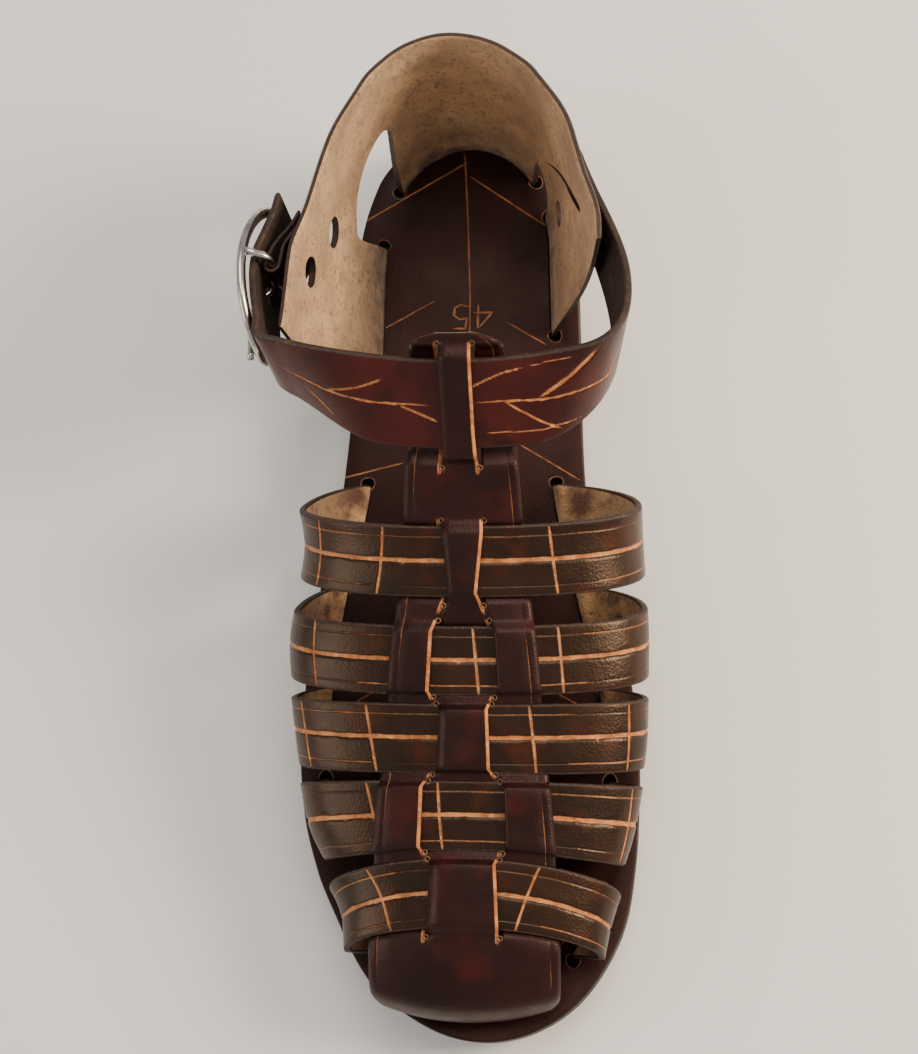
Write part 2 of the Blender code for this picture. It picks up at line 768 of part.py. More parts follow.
def make_counter(parts, cutters):
    levels = [TAIL_LIFT - FOOTBED, 0.0, STEM, 0.010, 0.021, 0.034, 0.048, 0.062, None]
    columns = 44
    rows = []
    for level in levels:
        row = []
        for k in range(columns + 1):
            share_up = 1.0 if level is None else max(level, 0.0) / COUNTER_HEIGHT
            start = counter_front(share_up, MEDIAL_TAB[0], MEDIAL_FRONT)
            stop = counter_front(share_up, LATERAL_TAB[1], LATERAL_FRONT)
            distance = start + (stop - start) * k / columns
            height = counter_height(distance) if level is None else level
            row.append(wall(distance, height))
        rows.append(row)
    counter = grid_object("heel_counter", rows, parts)
    thicken(counter, LEATHER)
    cuts = [("lateral_window", LATERAL_WINDOW), ("medial_window", MEDIAL_WINDOW),
            ("medial_slit", MEDIAL_SLIT)]
    for k, (distance, height) in enumerate(RIVET_HOLES):
        cuts.append((f"rivet_hole_{k}", round_corners(distance, height, RIVET_HOLE)))
    cuts.append(("medial_hole", round_corners(*MEDIAL_HOLE)))
    for name, corners in cuts:
        combine(counter, wall_prism(name, corners, cutters), "DIFFERENCE")
    return counter


def leaning(row, side):
    """Centre and width direction of one row of the ankle strap's side tables."""
    x, share, rise, back, out = row
    back = math.radians(back)
    out = math.radians(out)
    centre = Vector((x, along(share), bed(0.577) + rise))
    way = Vector((side * math.cos(back) * math.sin(out), math.sin(back), math.cos(back) * math.cos(out)))
    return centre, way.normalized()


def against_wall(distance, height, off, tilt, half):
    """Toe edge, middle and heel edge of a strap that lies along the counter."""
    sign = -1 if distance > 0 else 1
    return [wall(distance + sign * w * half * math.sin(tilt), height + w * half * math.cos(tilt), off)
            for w in (-1, 0, 1)]


def ankle_knots(axes):
    """Rows of three points across the ankle strap, from the medial side over to the lateral."""
    half = ANKLE_WIDTH / 2
    off = LEATHER + THREAD_PLAY
    rows = [against_wall(d, h, off, ANKLE_FALL, half) for d, h in ANKLE_MEDIAL_WALL]
    for row in ANKLE_MEDIAL[:0:-1]:
        centre, way = leaning(row, 1)
        rows.append([centre + way * half * w for w in (-1, 0, 1)])
    middle = RIDGE.run_at(ANKLE[1])
    for reach in (0.024, 0.016, 0.008, 0.0, -0.008, -0.016, -0.024):
        rows.append([over_foot(middle + w * half, reach) for w in (-1, 0, 1)])
    for row in ANKLE_LATERAL[1:]:
        centre, way = leaning(row, -1)
        rows.append([centre + way * half * w for w in (-1, 0, 1)])
    for ahead, out in ANKLE_BUCKLE:
        rows.append([axes.point(ahead, w * half, out) for w in (-1, 0, 1)])
    return rows


def spline_rows(knots, spacing):
    """Rows read from a smooth curve through the knot rows, about spacing apart."""
    centres = [row[1] for row in knots]
    steps = [(b - a).length for a, b in zip(centres, centres[1:])]
    place = np.concatenate([[0], np.cumsum(steps)])
    count = max(int(place[-1] / spacing), len(knots))
    rows = []
    for at in np.linspace(0, place[-1], count + 1):
        row = []
        for w in range(len(knots[0])):
            row.append(Vector([round_curve(place, [k[w][axis] for k in knots], at) for axis in range(3)]))
        rows.append(row)
    return rows


def round_curve(place, values, at):
    """A Catmull-Rom curve through unevenly spaced values."""
    k = int(np.clip(np.searchsorted(place, at, side="right") - 1, 0, len(place) - 2))
    step = place[k + 1] - place[k]

    def slope(i):
        if i == 0:
            return (values[1] - values[0]) / (place[1] - place[0])
        if i == len(place) - 1:
            return (values[-1] - values[-2]) / (place[-1] - place[-2])
        before = (values[i] - values[i - 1]) / (place[i] - place[i - 1])
        after = (values[i + 1] - values[i]) / (place[i + 1] - place[i])
        weight = (place[i] - place[i - 1]) / (place[i + 1] - place[i - 1])
        return before * (1 - weight) + after * weight

    t = (at - place[k]) / step
    keep = 2 * t**3 - 3 * t**2 + 1
    move = -2 * t**3 + 3 * t**2
    leave = t**3 - 2 * t**2 + t
    arrive = t**3 - t**2
    return keep * values[k] + move * values[k + 1] + step * (leave * slope(k) + arrive * slope(k + 1))


class BuckleFrame:
    """Axes at the middle of the buckle's bar: forward along the strap, up its width, outwards."""

    def __init__(self):
        self.centre = wall(BAR_ROUND, BAR_RISE, BAR_OFF)
        out = (wall(BAR_ROUND, BAR_RISE, 0.01) - wall(BAR_ROUND, BAR_RISE)).normalized()
        out = Vector((out.x, 0.0, out.z)).normalized()
        level = Vector((0.0, -1.0, 0.0))
        up = out.cross(level).normalized()
        if up.z < 0:
            up = -up
        self.out = out
        self.forward = (level * math.cos(BUCKLE_TILT) + up * math.sin(BUCKLE_TILT)).normalized()
        self.up = (up * math.cos(BUCKLE_TILT) - level * math.sin(BUCKLE_TILT)).normalized()

    def point(self, forward, up, out):
        return self.centre + self.forward * forward + self.up * up + self.out * out


def tube(name, points, radius, collection, closed=False, sides=2):
    """A rod along points, as a mesh with welded caps."""
    curve = bpy.data.curves.new(name + "_path", "CURVE")
    curve.dimensions = "3D"
    curve.bevel_depth = radius
    curve.bevel_resolution = sides
    curve.use_fill_caps = True
    line = curve.splines.new("POLY")
    line.points.add(len(points) - 1)
    for point, place in zip(line.points, points):
        point.co = (*place, 1.0)
    line.use_cyclic_u = closed
    guide = bpy.data.objects.new(name + "_path", curve)
    collection.objects.link(guide)
    graph = bpy.context.evaluated_depsgraph_get()
    mesh = bpy.data.meshes.new_from_object(guide.evaluated_get(graph))
    bm = bmesh.new()
    bm.from_mesh(mesh)
    bmesh.ops.remove_doubles(bm, verts=bm.verts, dist=0.00001)
    bmesh.ops.recalc_face_normals(bm, faces=bm.faces)
    bpy.data.objects.remove(guide)
    bpy.data.meshes.remove(mesh)
    return mesh_object(name, bm, collection)


def bar_to_strap():
    """From the bar's middle out to the middle of the strap that lies over the prong's eye."""
    return BAR_ROD / 2 + GAP + PRONG_ROD + GAP + LEATHER / 2


def ring_out(forward):
    """How far outside the bar's middle the arched frame's rod runs."""
    crest = bar_to_strap() + BUCKLE_CREST
    return crest - BUCKLE_ARCH * (2 * forward / BUCKLE_LENGTH) ** 2


def make_frame(parts, cutters, axes):
    turns = [2 * math.pi * k / 40 for k in range(40)]
    ring = []
    for turn in turns:
        forward = (BUCKLE_LENGTH - BUCKLE_ROD) / 2 * math.cos(turn)
        up = (BUCKLE_HEIGHT - BUCKLE_ROD) / 2 * math.sin(turn)
        ring.append(axes.point(forward, up, ring_out(forward)))
    frame = tube("buckle_frame", ring, BUCKLE_ROD / 2, parts, closed=True, sides=2)
    top = (BUCKLE_HEIGHT - BUCKLE_ROD) / 2
    knee = ANKLE_WIDTH / 2 + 0.0016
    crest = ring_out(0.0)
    bar = [(top, crest), (knee + 0.0012, crest * 0.55), (knee, 0.0015), (knee - 0.0015, 0.0)]
    bar += [(-up, out) for up, out in bar[::-1]]
    rod = tube("buckle_bar", [axes.point(0.0, up, out) for up, out in bar], BAR_ROD / 2, cutters)
    combine(frame, rod, "UNION")
    return frame


def make_prong(parts, axes):
    """A rod that hooks round the bar and lies along the strap to the frame's front."""
    eye = BAR_ROD / 2 + GAP + PRONG_ROD / 2
    path = []
    for degrees in (-50, -80, -110, -140, -170, -200, -230, -260, -278):
        turn = math.radians(degrees)
        path.append((eye * math.cos(turn), eye * math.sin(turn)))
    rest = bar_to_strap() + LEATHER / 2 + GAP + PRONG_ROD / 2
    tip = (BUCKLE_LENGTH - BUCKLE_ROD) / 2
    tip_out = ring_out(tip) + BUCKLE_ROD / 2 + GAP + PRONG_ROD / 2
    path += [(PRONG_RISE * 0.45, eye * 1.08), (PRONG_RISE * 0.85, eye * 1.55), (PRONG_RISE * 1.25, eye * 2.3)]
    path += [(PRONG_RISE * 1.6, rest * 0.95), (PRONG_RISE * 2.2, rest + 0.0003)]
    path += [(tip * 0.6, (rest + tip_out) / 2 + 0.0008), (tip, tip_out), (tip + 0.0015, tip_out - 0.0002)]
    points = [axes.point(forward, 0.0, out) for forward, out in path]
    return tube("buckle_prong", points, PRONG_ROD / 2, parts)


def chape_profile():
    """The fold in its own length: distance behind the bar and distance outside its middle."""
    inner = LEATHER / 2 + GAP + CHAPE_LEATHER / 2 - BAR_OFF
    outer = inner + CHAPE_LEATHER + GAP
    radius = BAR_ROD / 2 + GAP + CHAPE_LEATHER / 2
    path = [(CHAPE_LENGTH, inner), (CHAPE_LENGTH * 0.66, inner), (CHAPE_LENGTH * 0.4, inner)]
    path += [(0.0065, -radius - 0.0004)]
    for degrees in (-90, -60, -30, 0, 30, 60, 90):
        turn = math.radians(degrees)
        path.append((-radius * math.cos(turn), radius * math.sin(turn)))
    path += [(0.0045, radius * 0.75), (CHAPE_LENGTH * 0.38, outer + 0.0008), (CHAPE_LENGTH * 0.58, outer)]
    return path


def make_chape(parts, cutters, axes):
    """The strip folded round the bar, laid along the counter with a slot for the prong."""
    rows = []
    half = CHAPE_WIDTH / 2
    for behind, out in chape_profile():
        blend = ease((behind - 0.005) / 0.010)
        row = []
        for w in (-1, 0, 1):
            distance = BAR_ROUND - behind * math.cos(BUCKLE_TILT) - w * half * math.sin(BUCKLE_TILT)
            height = BAR_RISE - behind * math.sin(BUCKLE_TILT) + w * half * math.cos(BUCKLE_TILT)
            straight = axes.point(-behind, w * half, out)
            row.append(straight.lerp(wall(distance, height, out + BAR_OFF), blend))
        rows.append(row)
    chape = grid_object("buckle_chape", rows, parts)
    thicken(chape, CHAPE_LEATHER)
    bm = bmesh.new()
    bmesh.ops.create_cube(bm, size=1.0)
    size = (0.014, CHAPE_SLOT, 0.016)
    for vert in bm.verts:
        vert.co = axes.point(vert.co.x * size[0] - 0.001, vert.co.y * size[1], vert.co.z * size[2])
    bmesh.ops.recalc_face_normals(bm, faces=bm.faces)
    combine(chape, mesh_object("chape_slot", bm, cutters), "DIFFERENCE")
    return chape


def make_ankle_strap(parts, cutters, axes):
    strap = grid_object("ankle_strap", spline_rows(ankle_knots(axes), 0.005), parts)
    thicken(strap, LEATHER)
    bm = bmesh.new()
    bmesh.ops.create_cone(bm, cap_ends=True, segments=16, radius1=PRONG_HOLE / 2,
                          radius2=PRONG_HOLE / 2, depth=0.012)
    for vert in bm.verts:
        vert.co = axes.point(vert.co.x * 1.5 + PRONG_RISE, vert.co.y, vert.co.z + bar_to_strap())
    bmesh.ops.recalc_face_normals(bm, faces=bm.faces)
    combine(strap, mesh_object("prong_hole", bm, cutters), "DIFFERENCE")
    return strap


def rest_on_floor(items):
    """Puts the middle of the sandal's base at the origin, by moving the empty that carries it."""
    carrier = bpy.data.objects.new("sandal_frame", None)
    bpy.context.scene.collection.objects.link(carrier)
    bpy.context.view_layer.update()
    graph = bpy.context.evaluated_depsgraph_get()
    corners = []
    for item in items:
        mesh = item.evaluated_get(graph).to_mesh()
        places = np.empty(len(mesh.vertices) * 3)
        mesh.vertices.foreach_get("co", places)
        corners.append(places.reshape(-1, 3).min(axis=0))
        corners.append(places.reshape(-1, 3).max(axis=0))
    low = np.min(corners, axis=0)
    high = np.max(corners, axis=0)
    for item in list(bpy.data.objects):
        if item is not carrier:
            item.parent = carrier
    carrier.location = (-(low[0] + high[0]) / 2, -(low[1] + high[1]) / 2, -low[2])


def main():
    for item in list(bpy.data.objects):
        bpy.data.objects.remove(item)
    parts = new_collection("huarache_sandal")
    cutters = new_collection("cutters")
    axes = BuckleFrame()
    items = make_sole(parts, cutters)
    items.append(make_upper(parts, cutters))
    items.append(make_ankle_strap(parts, cutters, axes))
    items.append(make_counter(parts, cutters))
    items.append(make_chape(parts, cutters, axes))
    items.append(make_frame(parts, cutters, axes))
    items.append(make_prong(parts, axes))
    for item in items:
        colour(item, item.name)
    rest_on_floor(items)


main()
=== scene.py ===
import math

import bmesh
import bpy
import numpy as np
from mathutils import Matrix, Vector


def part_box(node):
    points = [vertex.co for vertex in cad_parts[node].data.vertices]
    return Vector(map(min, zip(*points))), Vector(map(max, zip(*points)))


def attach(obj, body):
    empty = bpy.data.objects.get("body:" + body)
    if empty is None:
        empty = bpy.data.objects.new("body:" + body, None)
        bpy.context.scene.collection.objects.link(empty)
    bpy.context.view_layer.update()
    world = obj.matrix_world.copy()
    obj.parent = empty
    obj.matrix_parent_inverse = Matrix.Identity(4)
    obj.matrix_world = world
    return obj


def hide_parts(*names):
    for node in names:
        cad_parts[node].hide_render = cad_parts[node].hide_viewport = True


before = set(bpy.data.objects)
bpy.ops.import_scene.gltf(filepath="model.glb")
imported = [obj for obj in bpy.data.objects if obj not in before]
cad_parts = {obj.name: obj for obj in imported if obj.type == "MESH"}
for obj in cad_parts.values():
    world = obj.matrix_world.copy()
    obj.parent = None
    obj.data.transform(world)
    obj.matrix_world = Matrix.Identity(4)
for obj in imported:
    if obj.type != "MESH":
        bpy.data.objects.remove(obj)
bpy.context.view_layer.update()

# The sandal's own sizes, as the solids have them, in metres.
SOLE_LENGTH = 0.310
BALL_WIDTH = 0.110
FOREFOOT_SOLE = 0.009
HEEL_LIFT = 0.008
HEEL_BLOCK = 0.006
TOE_SPRING = 0.007
FOOTBED = 0.004
LEATHER = 0.0022
INSTEP_HEIGHT = 0.055
COUNTER_HEIGHT = 0.076
GAP = 0.0003
SLOT_PLAY = 0.0006
SLOT_HOLE = 0.0024
LATERAL_INSET = 0.0082
MEDIAL_INSET = 0.0095
HEEL_INSET = 0.0082
STRAP_WIDTH = 0.0210
ANKLE_WIDTH = 0.0270
RIDGE_X = 0.003
ARCH_POWER = 2.3
BOW_REACH = 0.030
SLIT_HALF = 0.0004
RAMP = 0.0045
STEM = 0.0012
TAIL_LIFT = 0.0002
THREAD_PLAY = 0.0008
HEEL_TAB = (-0.028, 0.031)
LATERAL_TAB = (0.053, 0.098)
MEDIAL_TAB = (-0.086, -0.043)
LATERAL_FRONT = 0.117
MEDIAL_FRONT = -0.090
RIVET_HOLE = 0.0100
ANKLE_FALL = math.radians(33)
BUCKLE_LENGTH = 0.053
BUCKLE_HEIGHT = 0.040
BUCKLE_ARCH = 0.0035
BUCKLE_CREST = 0.0020
BUCKLE_ROD = 0.0028
BAR_ROD = 0.0024
PRONG_ROD = 0.0020
BUCKLE_TILT = math.radians(13)
BAR_ROUND = 0.097
BAR_RISE = 0.069
BAR_OFF = 0.0056
PRONG_HOLE = 0.0040
PRONG_RISE = 0.0036
CHAPE_LEATHER = 0.0012
CHAPE_WIDTH = 0.021
CHAPE_LENGTH = 0.034
CHAPE_SLOT = 0.0050
# Where the toe spring ends, the arch begins and the heel block starts, as shares of the length.
SPRING_END = 0.20
SPRING_POWER = 1.7
ARCH_START = 0.40
ARCH_RUN = 0.16
HEEL_FRONT = 0.655
HEEL_STEP = 0.02
LIFT_START = 0.36
LIFT_RUN = 0.36

# Plan of the sole: share of length, centre and half width as shares of the ball width.
SOLE = (
    (0.000, 0.068, 0.000),
    (0.012, 0.068, 0.150),
    (0.055, 0.056, 0.312),
    (0.108, 0.050, 0.400),
    (0.165, 0.028, 0.456),
    (0.225, 0.010, 0.487),
    (0.285, 0.001, 0.498),
    (0.362, -0.008, 0.485),
    (0.466, -0.027, 0.432),
    (0.577, -0.031, 0.367),
    (0.680, -0.028, 0.349),
    (0.848, -0.036, 0.340),
    (0.927, -0.036, 0.291),
    (0.966, -0.036, 0.216),
    (1.000, -0.036, 0.000),
)

# The last over the foot, row by row up the instep, as in the solids.
LAST = (
    ("share", "rise", "tongue", "side", "lateral", "medial", "slot", "bow"),
    (0.0260, 0.00, 0.200, 0.45, 0.355, 0.355, 0.038, 0.060),
    (0.0215, 0.11, 0.236, 0.45, 0.355, 0.355, 0.038, 0.050),
    (0.0295, 0.26, 0.258, 0.42, 0.350, 0.355, 0.042, 0.040),
    (0.0560, 0.38, 0.262, 0.40, 0.340, 0.360, 0.055, 0.020),
    (0.0900, 0.465, 0.262, 0.38, 0.335, 0.365, 0.078, -0.010),
    (0.1370, 0.54, 0.255, 0.38, 0.345, 0.385, 0.117, -0.022),
    (0.2100, 0.63, 0.240, 0.42, 0.455, 0.455, 0.226, -0.008),
    (0.2810, 0.73, 0.220, 0.50, 0.495, 0.488, 0.323, 0.000),
    (0.3530, 0.84, 0.202, 0.56, 0.512, 0.492, 0.432, 0.000),
    (0.4450, 1.00, 0.172, 0.55, 0.472, 0.476, 0.541, 0.000),
    (0.5030, 1.115, 0.160, 0.75, 0.490, 0.470, 0.600, 0.010),
    (0.5450, 1.235, 0.148, 0.93, 0.500, 0.460, 0.640, 0.025),
    (0.5770, 1.390, 0.136, 0.93, 0.500, 0.460, 0.660, 0.025),
    (0.6080, 1.545, 0.128, 0.93, 0.500, 0.460, 0.680, 0.025),
    (0.6230, 1.620, 0.120, 0.93, 0.500, 0.460, 0.690, 0.025),
    (0.6285, 1.640, 0.070, 0.93, 0.500, 0.460, 0.690, 0.025),
)

# Straps from the toe up: crown and slot as shares of length, the half width of the tongue's
# middle band at the strap's toe side and heel side, and 1 where the tongue's margins lie on top.
STRAPS = (
    ("strap_5", 0.1370, 0.117, 0.100, 0.092, -1),
    ("strap_4", 0.2097, 0.226, 0.112, 0.106, 1),
    ("strap_3", 0.2815, 0.323, 0.076, 0.070, -1),
    ("strap_2", 0.3540, 0.432, 0.090, 0.080, 1),
    ("strap_1", 0.4450, 0.541, 0.042, 0.060, -1),
)
ANKLE = ("ankle", 0.5770, 0.660, 0.046, 0.046, -1)

# Carved lines across each strap: reach off the ridge as a share of that side's span, at the
# strap's toe edge and at its heel edge.
CROSS_LINES = {
    "strap_1": ((-0.87, -0.85), (-0.50, -0.46), (0.53, 0.49), (0.96, 0.93)),
    "strap_2": ((-0.82, -0.84), (-0.39, -0.36), (0.085, 0.05), (0.55, 0.52), (0.98, 0.96)),
    "strap_3": ((-0.90, -0.92), (-0.50, -0.54), (0.41, 0.36), (0.91, 0.90)),
    "strap_4": ((-0.52, -0.57), (-0.14, -0.15), (0.97, 0.95)),
    "strap_5": ((-0.58, -0.70), (0.38, 0.50)),
}

# The heel counter: distance round the heel, lean outwards at the top and height, as in the solids.
COUNTER = (
    (-0.092, 0.158, 1.075),
    (-0.084, 0.158, 1.070),
    (-0.065, 0.118, 1.045),
    (-0.048, 0.082, 1.020),
    (-0.032, 0.035, 1.000),
    (-0.018, 0.005, 0.990),
    (0.000, -0.012, 0.985),
    (0.020, 0.000, 0.985),
    (0.035, 0.015, 1.000),
    (0.055, 0.058, 1.020),
    (0.075, 0.098, 1.045),
    (0.092, 0.138, 1.070),
    (0.117, 0.145, 1.090),
)
COUNTER_BULGE = 0.0025
LATERAL_WINDOW = ((0.0310, -0.010), (0.0310, 0.001), (0.0260, 0.0290), (0.0260, 0.0350),
                  (0.0300, 0.0390), (0.0400, 0.0395), (0.0520, 0.0350), (0.0610, 0.0295),
                  (0.0625, 0.0265), (0.0535, 0.001), (0.0530, -0.010))
MEDIAL_WINDOW = ((-0.0280, -0.010), (-0.0280, 0.014), (-0.0310, 0.0165), (-0.0380, 0.0145),
                 (-0.0430, 0.008), (-0.0430, -0.010))
MEDIAL_SLIT = ((-0.0360, 0.0270), (-0.0370, 0.0270), (-0.0700, 0.0580), (-0.0705, 0.0610),
               (-0.0680, 0.0610))
RIVET_HOLES = ((0.071, 0.051), (0.090, 0.063))
MEDIAL_HOLE = (-0.052, 0.021, 0.0085)

# The ankle strap beside the crown, and where it lies on the counter and under the buckle.
ANKLE_MEDIAL = (
    (0.0460, 0.6160, 0.0755, 24, 9),
    (0.0495, 0.6390, 0.0740, 20, 10),
    (0.0505, 0.6620, 0.0720, 20, 10),
    (0.0502, 0.6840, 0.0695, 23, 10),
)
ANKLE_LATERAL = (
    (-0.0475, 0.6140, 0.0770, 20, 9),
)
ANKLE_MEDIAL_WALL = ((-0.0480, 0.0380), (-0.0560, 0.0445), (-0.0640, 0.0510), (-0.0720, 0.0570))
ANKLE_BUCKLE = ((0.0270, 0.0004), (0.0200, 0.0016), (0.0100, 0.0039), (0.0020, 0.0050),
                (-0.0040, 0.0048), (-0.0110, 0.0030), (-0.0190, 0.0010), (-0.0250, 0.0004))

# Lines cut into the footbed, in metres from the middle of the sole: a rib down the middle and
# herringbone strokes to either side.
FOOTBED_LINES = (
    ((-0.0062, 0.1440), (-0.0054, 0.1360), (-0.0040, 0.1150), (-0.0027, 0.0900), (-0.0022, 0.0600)),
    ((-0.0415, 0.1179), (-0.0047, 0.1407)),
    ((-0.0039, 0.1350), (0.0261, 0.1134)),
    ((-0.0316, 0.0786), (-0.0149, 0.0885)),
    ((0.0102, 0.0802), (0.0240, 0.0717)),
    ((-0.0462, 0.0254), (-0.0238, 0.0310)),
    ((0.0148, 0.0373), (0.0357, 0.0247)),
    ((-0.0022, 0.0440), (-0.0018, 0.0000), (-0.0012, -0.0600), (0.0020, -0.1300)),
    ((-0.0440, -0.0150), (-0.0120, 0.0060)),
    ((0.0120, 0.0040), (0.0430, -0.0160)),
    ((-0.0490, -0.0560), (-0.0150, -0.0360)),
    ((0.0140, -0.0380), (0.0480, -0.0560)),
    ((-0.0440, -0.0960), (-0.0330, -0.0870)),
    ((0.0390, -0.0900), (0.0490, -0.0990)),
    ((-0.0290, -0.1330), (-0.0190, -0.1230)),
    ((0.0300, -0.1260), (0.0400, -0.1150)),
)
# The size numerals: middle of the pair, height and the width of one, and their strokes.
SIZE_MARK = (-0.0016, 0.0826, 0.0088, 0.0070)
SIZE_STROKES = (
    ((0.74, 0.00), (0.74, 1.00)),
    ((0.68, 0.96), (0.05, 0.34), (1.00, 0.34)),
    ((1.95, 1.00), (1.35, 1.00), (1.28, 0.56), (1.62, 0.62), (1.92, 0.44), (1.88, 0.12), (1.58, 0.00),
     (1.24, 0.10)),
)

# The leaf veins carved in the ankle strap: width, then share of its length from the inner end
# and place across it, from the toe edge (-1) to the heel edge (1).
VEINS = (
    (0.0007, ((0.780, 0.12), (0.760, 0.00), (0.713, -0.10), (0.680, -0.08), (0.620, -0.02), (0.573, 0.00))),
    (0.0006, ((0.713, -0.10), (0.670, 0.20), (0.632, 0.55))),
    (0.0008, ((0.620, -0.05), (0.600, -0.18), (0.572, -0.40))),
    (0.0006, ((0.743, -0.30), (0.722, -0.55), (0.705, -0.80))),
    (0.0007, ((0.540, 0.05), (0.497, 0.05), (0.458, -0.01), (0.420, -0.08), (0.390, -0.15), (0.345, -0.42),
              (0.330, -0.55))),
    (0.0007, ((0.538, 0.35), (0.515, 0.55), (0.495, 0.68), (0.470, 0.75))),
    (0.0004, ((0.470, 0.75), (0.440, 0.80), (0.408, 0.82))),
    (0.0012, ((0.458, 0.00), (0.438, 0.16), (0.417, 0.35), (0.398, 0.62), (0.383, 0.86))),
    (0.0009, ((0.368, -0.30), (0.350, -0.20), (0.325, 0.10), (0.308, 0.40))),
    (0.0007, ((0.497, 0.05), (0.465, -0.35), (0.425, -0.88))),
    (0.0004, ((0.532, -0.62), (0.473, -0.68), (0.432, -0.72), (0.395, -0.86))),
    (0.0008, ((0.300, -0.25), (0.270, -0.12), (0.230, -0.05), (0.180, 0.00), (0.120, 0.00))),
    (0.0006, ((0.270, -0.12), (0.245, 0.25), (0.225, 0.60))),
    (0.0006, ((0.230, -0.05), (0.200, -0.40), (0.178, -0.75))),
    (0.0006, ((0.180, 0.00), (0.155, 0.35), (0.138, 0.68))),
)


def ease(t):
    t = min(max(t, 0.0), 1.0)
    return t * t * (3 - 2 * t)


class Curve:
    """A monotone cubic through points, kept as close samples so that it is quick to read."""

    def __init__(self, xs, ys, count=900):
        xs = np.asarray(xs, float)
        ys = np.asarray(ys, float)
        step = np.diff(xs)
        slope = np.diff(ys) / step
        tangent = np.zeros(len(xs))
        for i in range(1, len(xs) - 1):
            if slope[i - 1] * slope[i] > 0:
                w1 = 2 * step[i] + step[i - 1]
                w2 = step[i] + 2 * step[i - 1]
                tangent[i] = (w1 + w2) / (w1 / slope[i - 1] + w2 / slope[i])
        tangent[0] = slope[0]
        tangent[-1] = slope[-1]
        at = np.linspace(xs[0], xs[-1], count)
        k = np.clip(np.searchsorted(xs, at, side="right") - 1, 0, len(xs) - 2)
        t = (at - xs[k]) / step[k]
        value = (2 * t**3 - 3 * t**2 + 1) * ys[k] + (-2 * t**3 + 3 * t**2) * ys[k + 1]
        value += step[k] * ((t**3 - 2 * t**2 + t) * tangent[k] + (t**3 - t**2) * tangent[k + 1])
        self.low = float(xs[0])
        self.scale = (count - 1) / float(xs[-1] - xs[0])
        self.samples = [float(v) for v in value]
        self.last = count - 1

    def __call__(self, x):
        place = min(max((x - self.low) * self.scale, 0.0), self.last)
        k = min(int(place), self.last - 1)
        t = place - k
        return self.samples[k] * (1 - t) + self.samples[k + 1] * t


SOLE_CENTRE = Curve([r[0] for r in SOLE], [r[1] for r in SOLE], 3000)
SOLE_SQUARE = Curve([r[0] for r in SOLE], [r[2] ** 2 for r in SOLE], 6000)


def along(share):
    return (share - 0.5) * SOLE_LENGTH


def share_of(y):
    return y / SOLE_LENGTH + 0.5


def sole_sides(share):
    """X of the lateral and medial edge of the sole."""
    centre = SOLE_CENTRE(share) * BALL_WIDTH
    half = math.sqrt(max(SOLE_SQUARE(share), 0.0)) * BALL_WIDTH
    return centre - half, centre + half


def spring(share):
    return TOE_SPRING * max(0.0, 1 - share / SPRING_END) ** SPRING_POWER


def tread(share):
    arch = HEEL_BLOCK * ease((share - ARCH_START) / ARCH_RUN) * (1 - ease((share - HEEL_FRONT) / HEEL_STEP))
    return arch + spring(share)


def seat(share):
    return FOREFOOT_SOLE + HEEL_LIFT * ease((share - LIFT_START) / LIFT_RUN) + spring(share)


def bed(share):
    """Height of the footbed's upper face."""
    return seat(share) + GAP + FOOTBED


def outline(count=400):
    """The sole's edge as one loop, from the heel round the lateral side to the toe and back."""
    shares = (1 + np.cos(np.linspace(0, math.pi, count))) / 2
    lateral = [(sole_sides(s)[0], along(s)) for s in shares]
    medial = [(sole_sides(s)[1], along(s)) for s in shares[::-1]]
    return np.array(lateral[:-1] + medial[:-1])


EDGE = outline()
INSETS = {}


def inset_edge(inset):
    """The sole's edge moved inwards, and the outward direction along it."""
    if inset not in INSETS:
        run = np.roll(EDGE, -1, axis=0) - np.roll(EDGE, 1, axis=0)
        run /= np.linalg.norm(run, axis=1)[:, None]
        inward = np.stack([-run[:, 1], run[:, 0]], axis=1)
        if np.mean(np.sum(inward * (EDGE.mean(axis=0) - EDGE), axis=1)) < 0:
            inward = -inward
        INSETS[inset] = (EDGE + inward * inset, -inward)
    return INSETS[inset]


def rim(side, share, inset):
    """X of a point inside the sole's edge: side is -1 lateral or 1 medial."""
    moved, _ = inset_edge(inset)
    half = len(moved) // 2
    part = moved[:half] if side < 0 else moved[half:]
    if part[0, 1] > part[-1, 1]:
        part = part[::-1]
    return float(np.interp(along(share), part[:, 1], part[:, 0]))


class HeelLine:
    """The line on the footbed that the counter stands on, measured round from the heel's back."""

    def __init__(self):
        moved, outward = inset_edge(HEEL_INSET)
        back = int(np.argmax(moved[:, 1]))
        moved = np.roll(moved, -back, axis=0)
        outward = np.roll(outward, -back, axis=0)
        half = len(moved) // 2
        lateral = np.arange(0, half - 60)
        medial = -np.arange(1, half - 60)[::-1]
        pick = np.concatenate([medial, lateral])
        self.points = moved[pick]
        self.outward = outward[pick]
        steps = np.linalg.norm(np.diff(self.points, axis=0), axis=1)
        self.round = np.concatenate([[0], np.cumsum(steps)])
        self.round -= self.round[len(medial)]

    def at(self, distance):
        place = [float(np.interp(distance, self.round, self.points[:, k])) for k in (0, 1)]
        out = [float(np.interp(distance, self.round, self.outward[:, k])) for k in (0, 1)]
        size = math.hypot(*out)
        return place, (out[0] / size, out[1] / size)


HEEL = HeelLine()
COUNTER_LEAN = Curve([r[0] for r in COUNTER], [r[1] for r in COUNTER])
COUNTER_TOP = Curve([r[0] for r in COUNTER], [r[2] for r in COUNTER])


def counter_height(distance):
    return COUNTER_HEIGHT * COUNTER_TOP(distance)


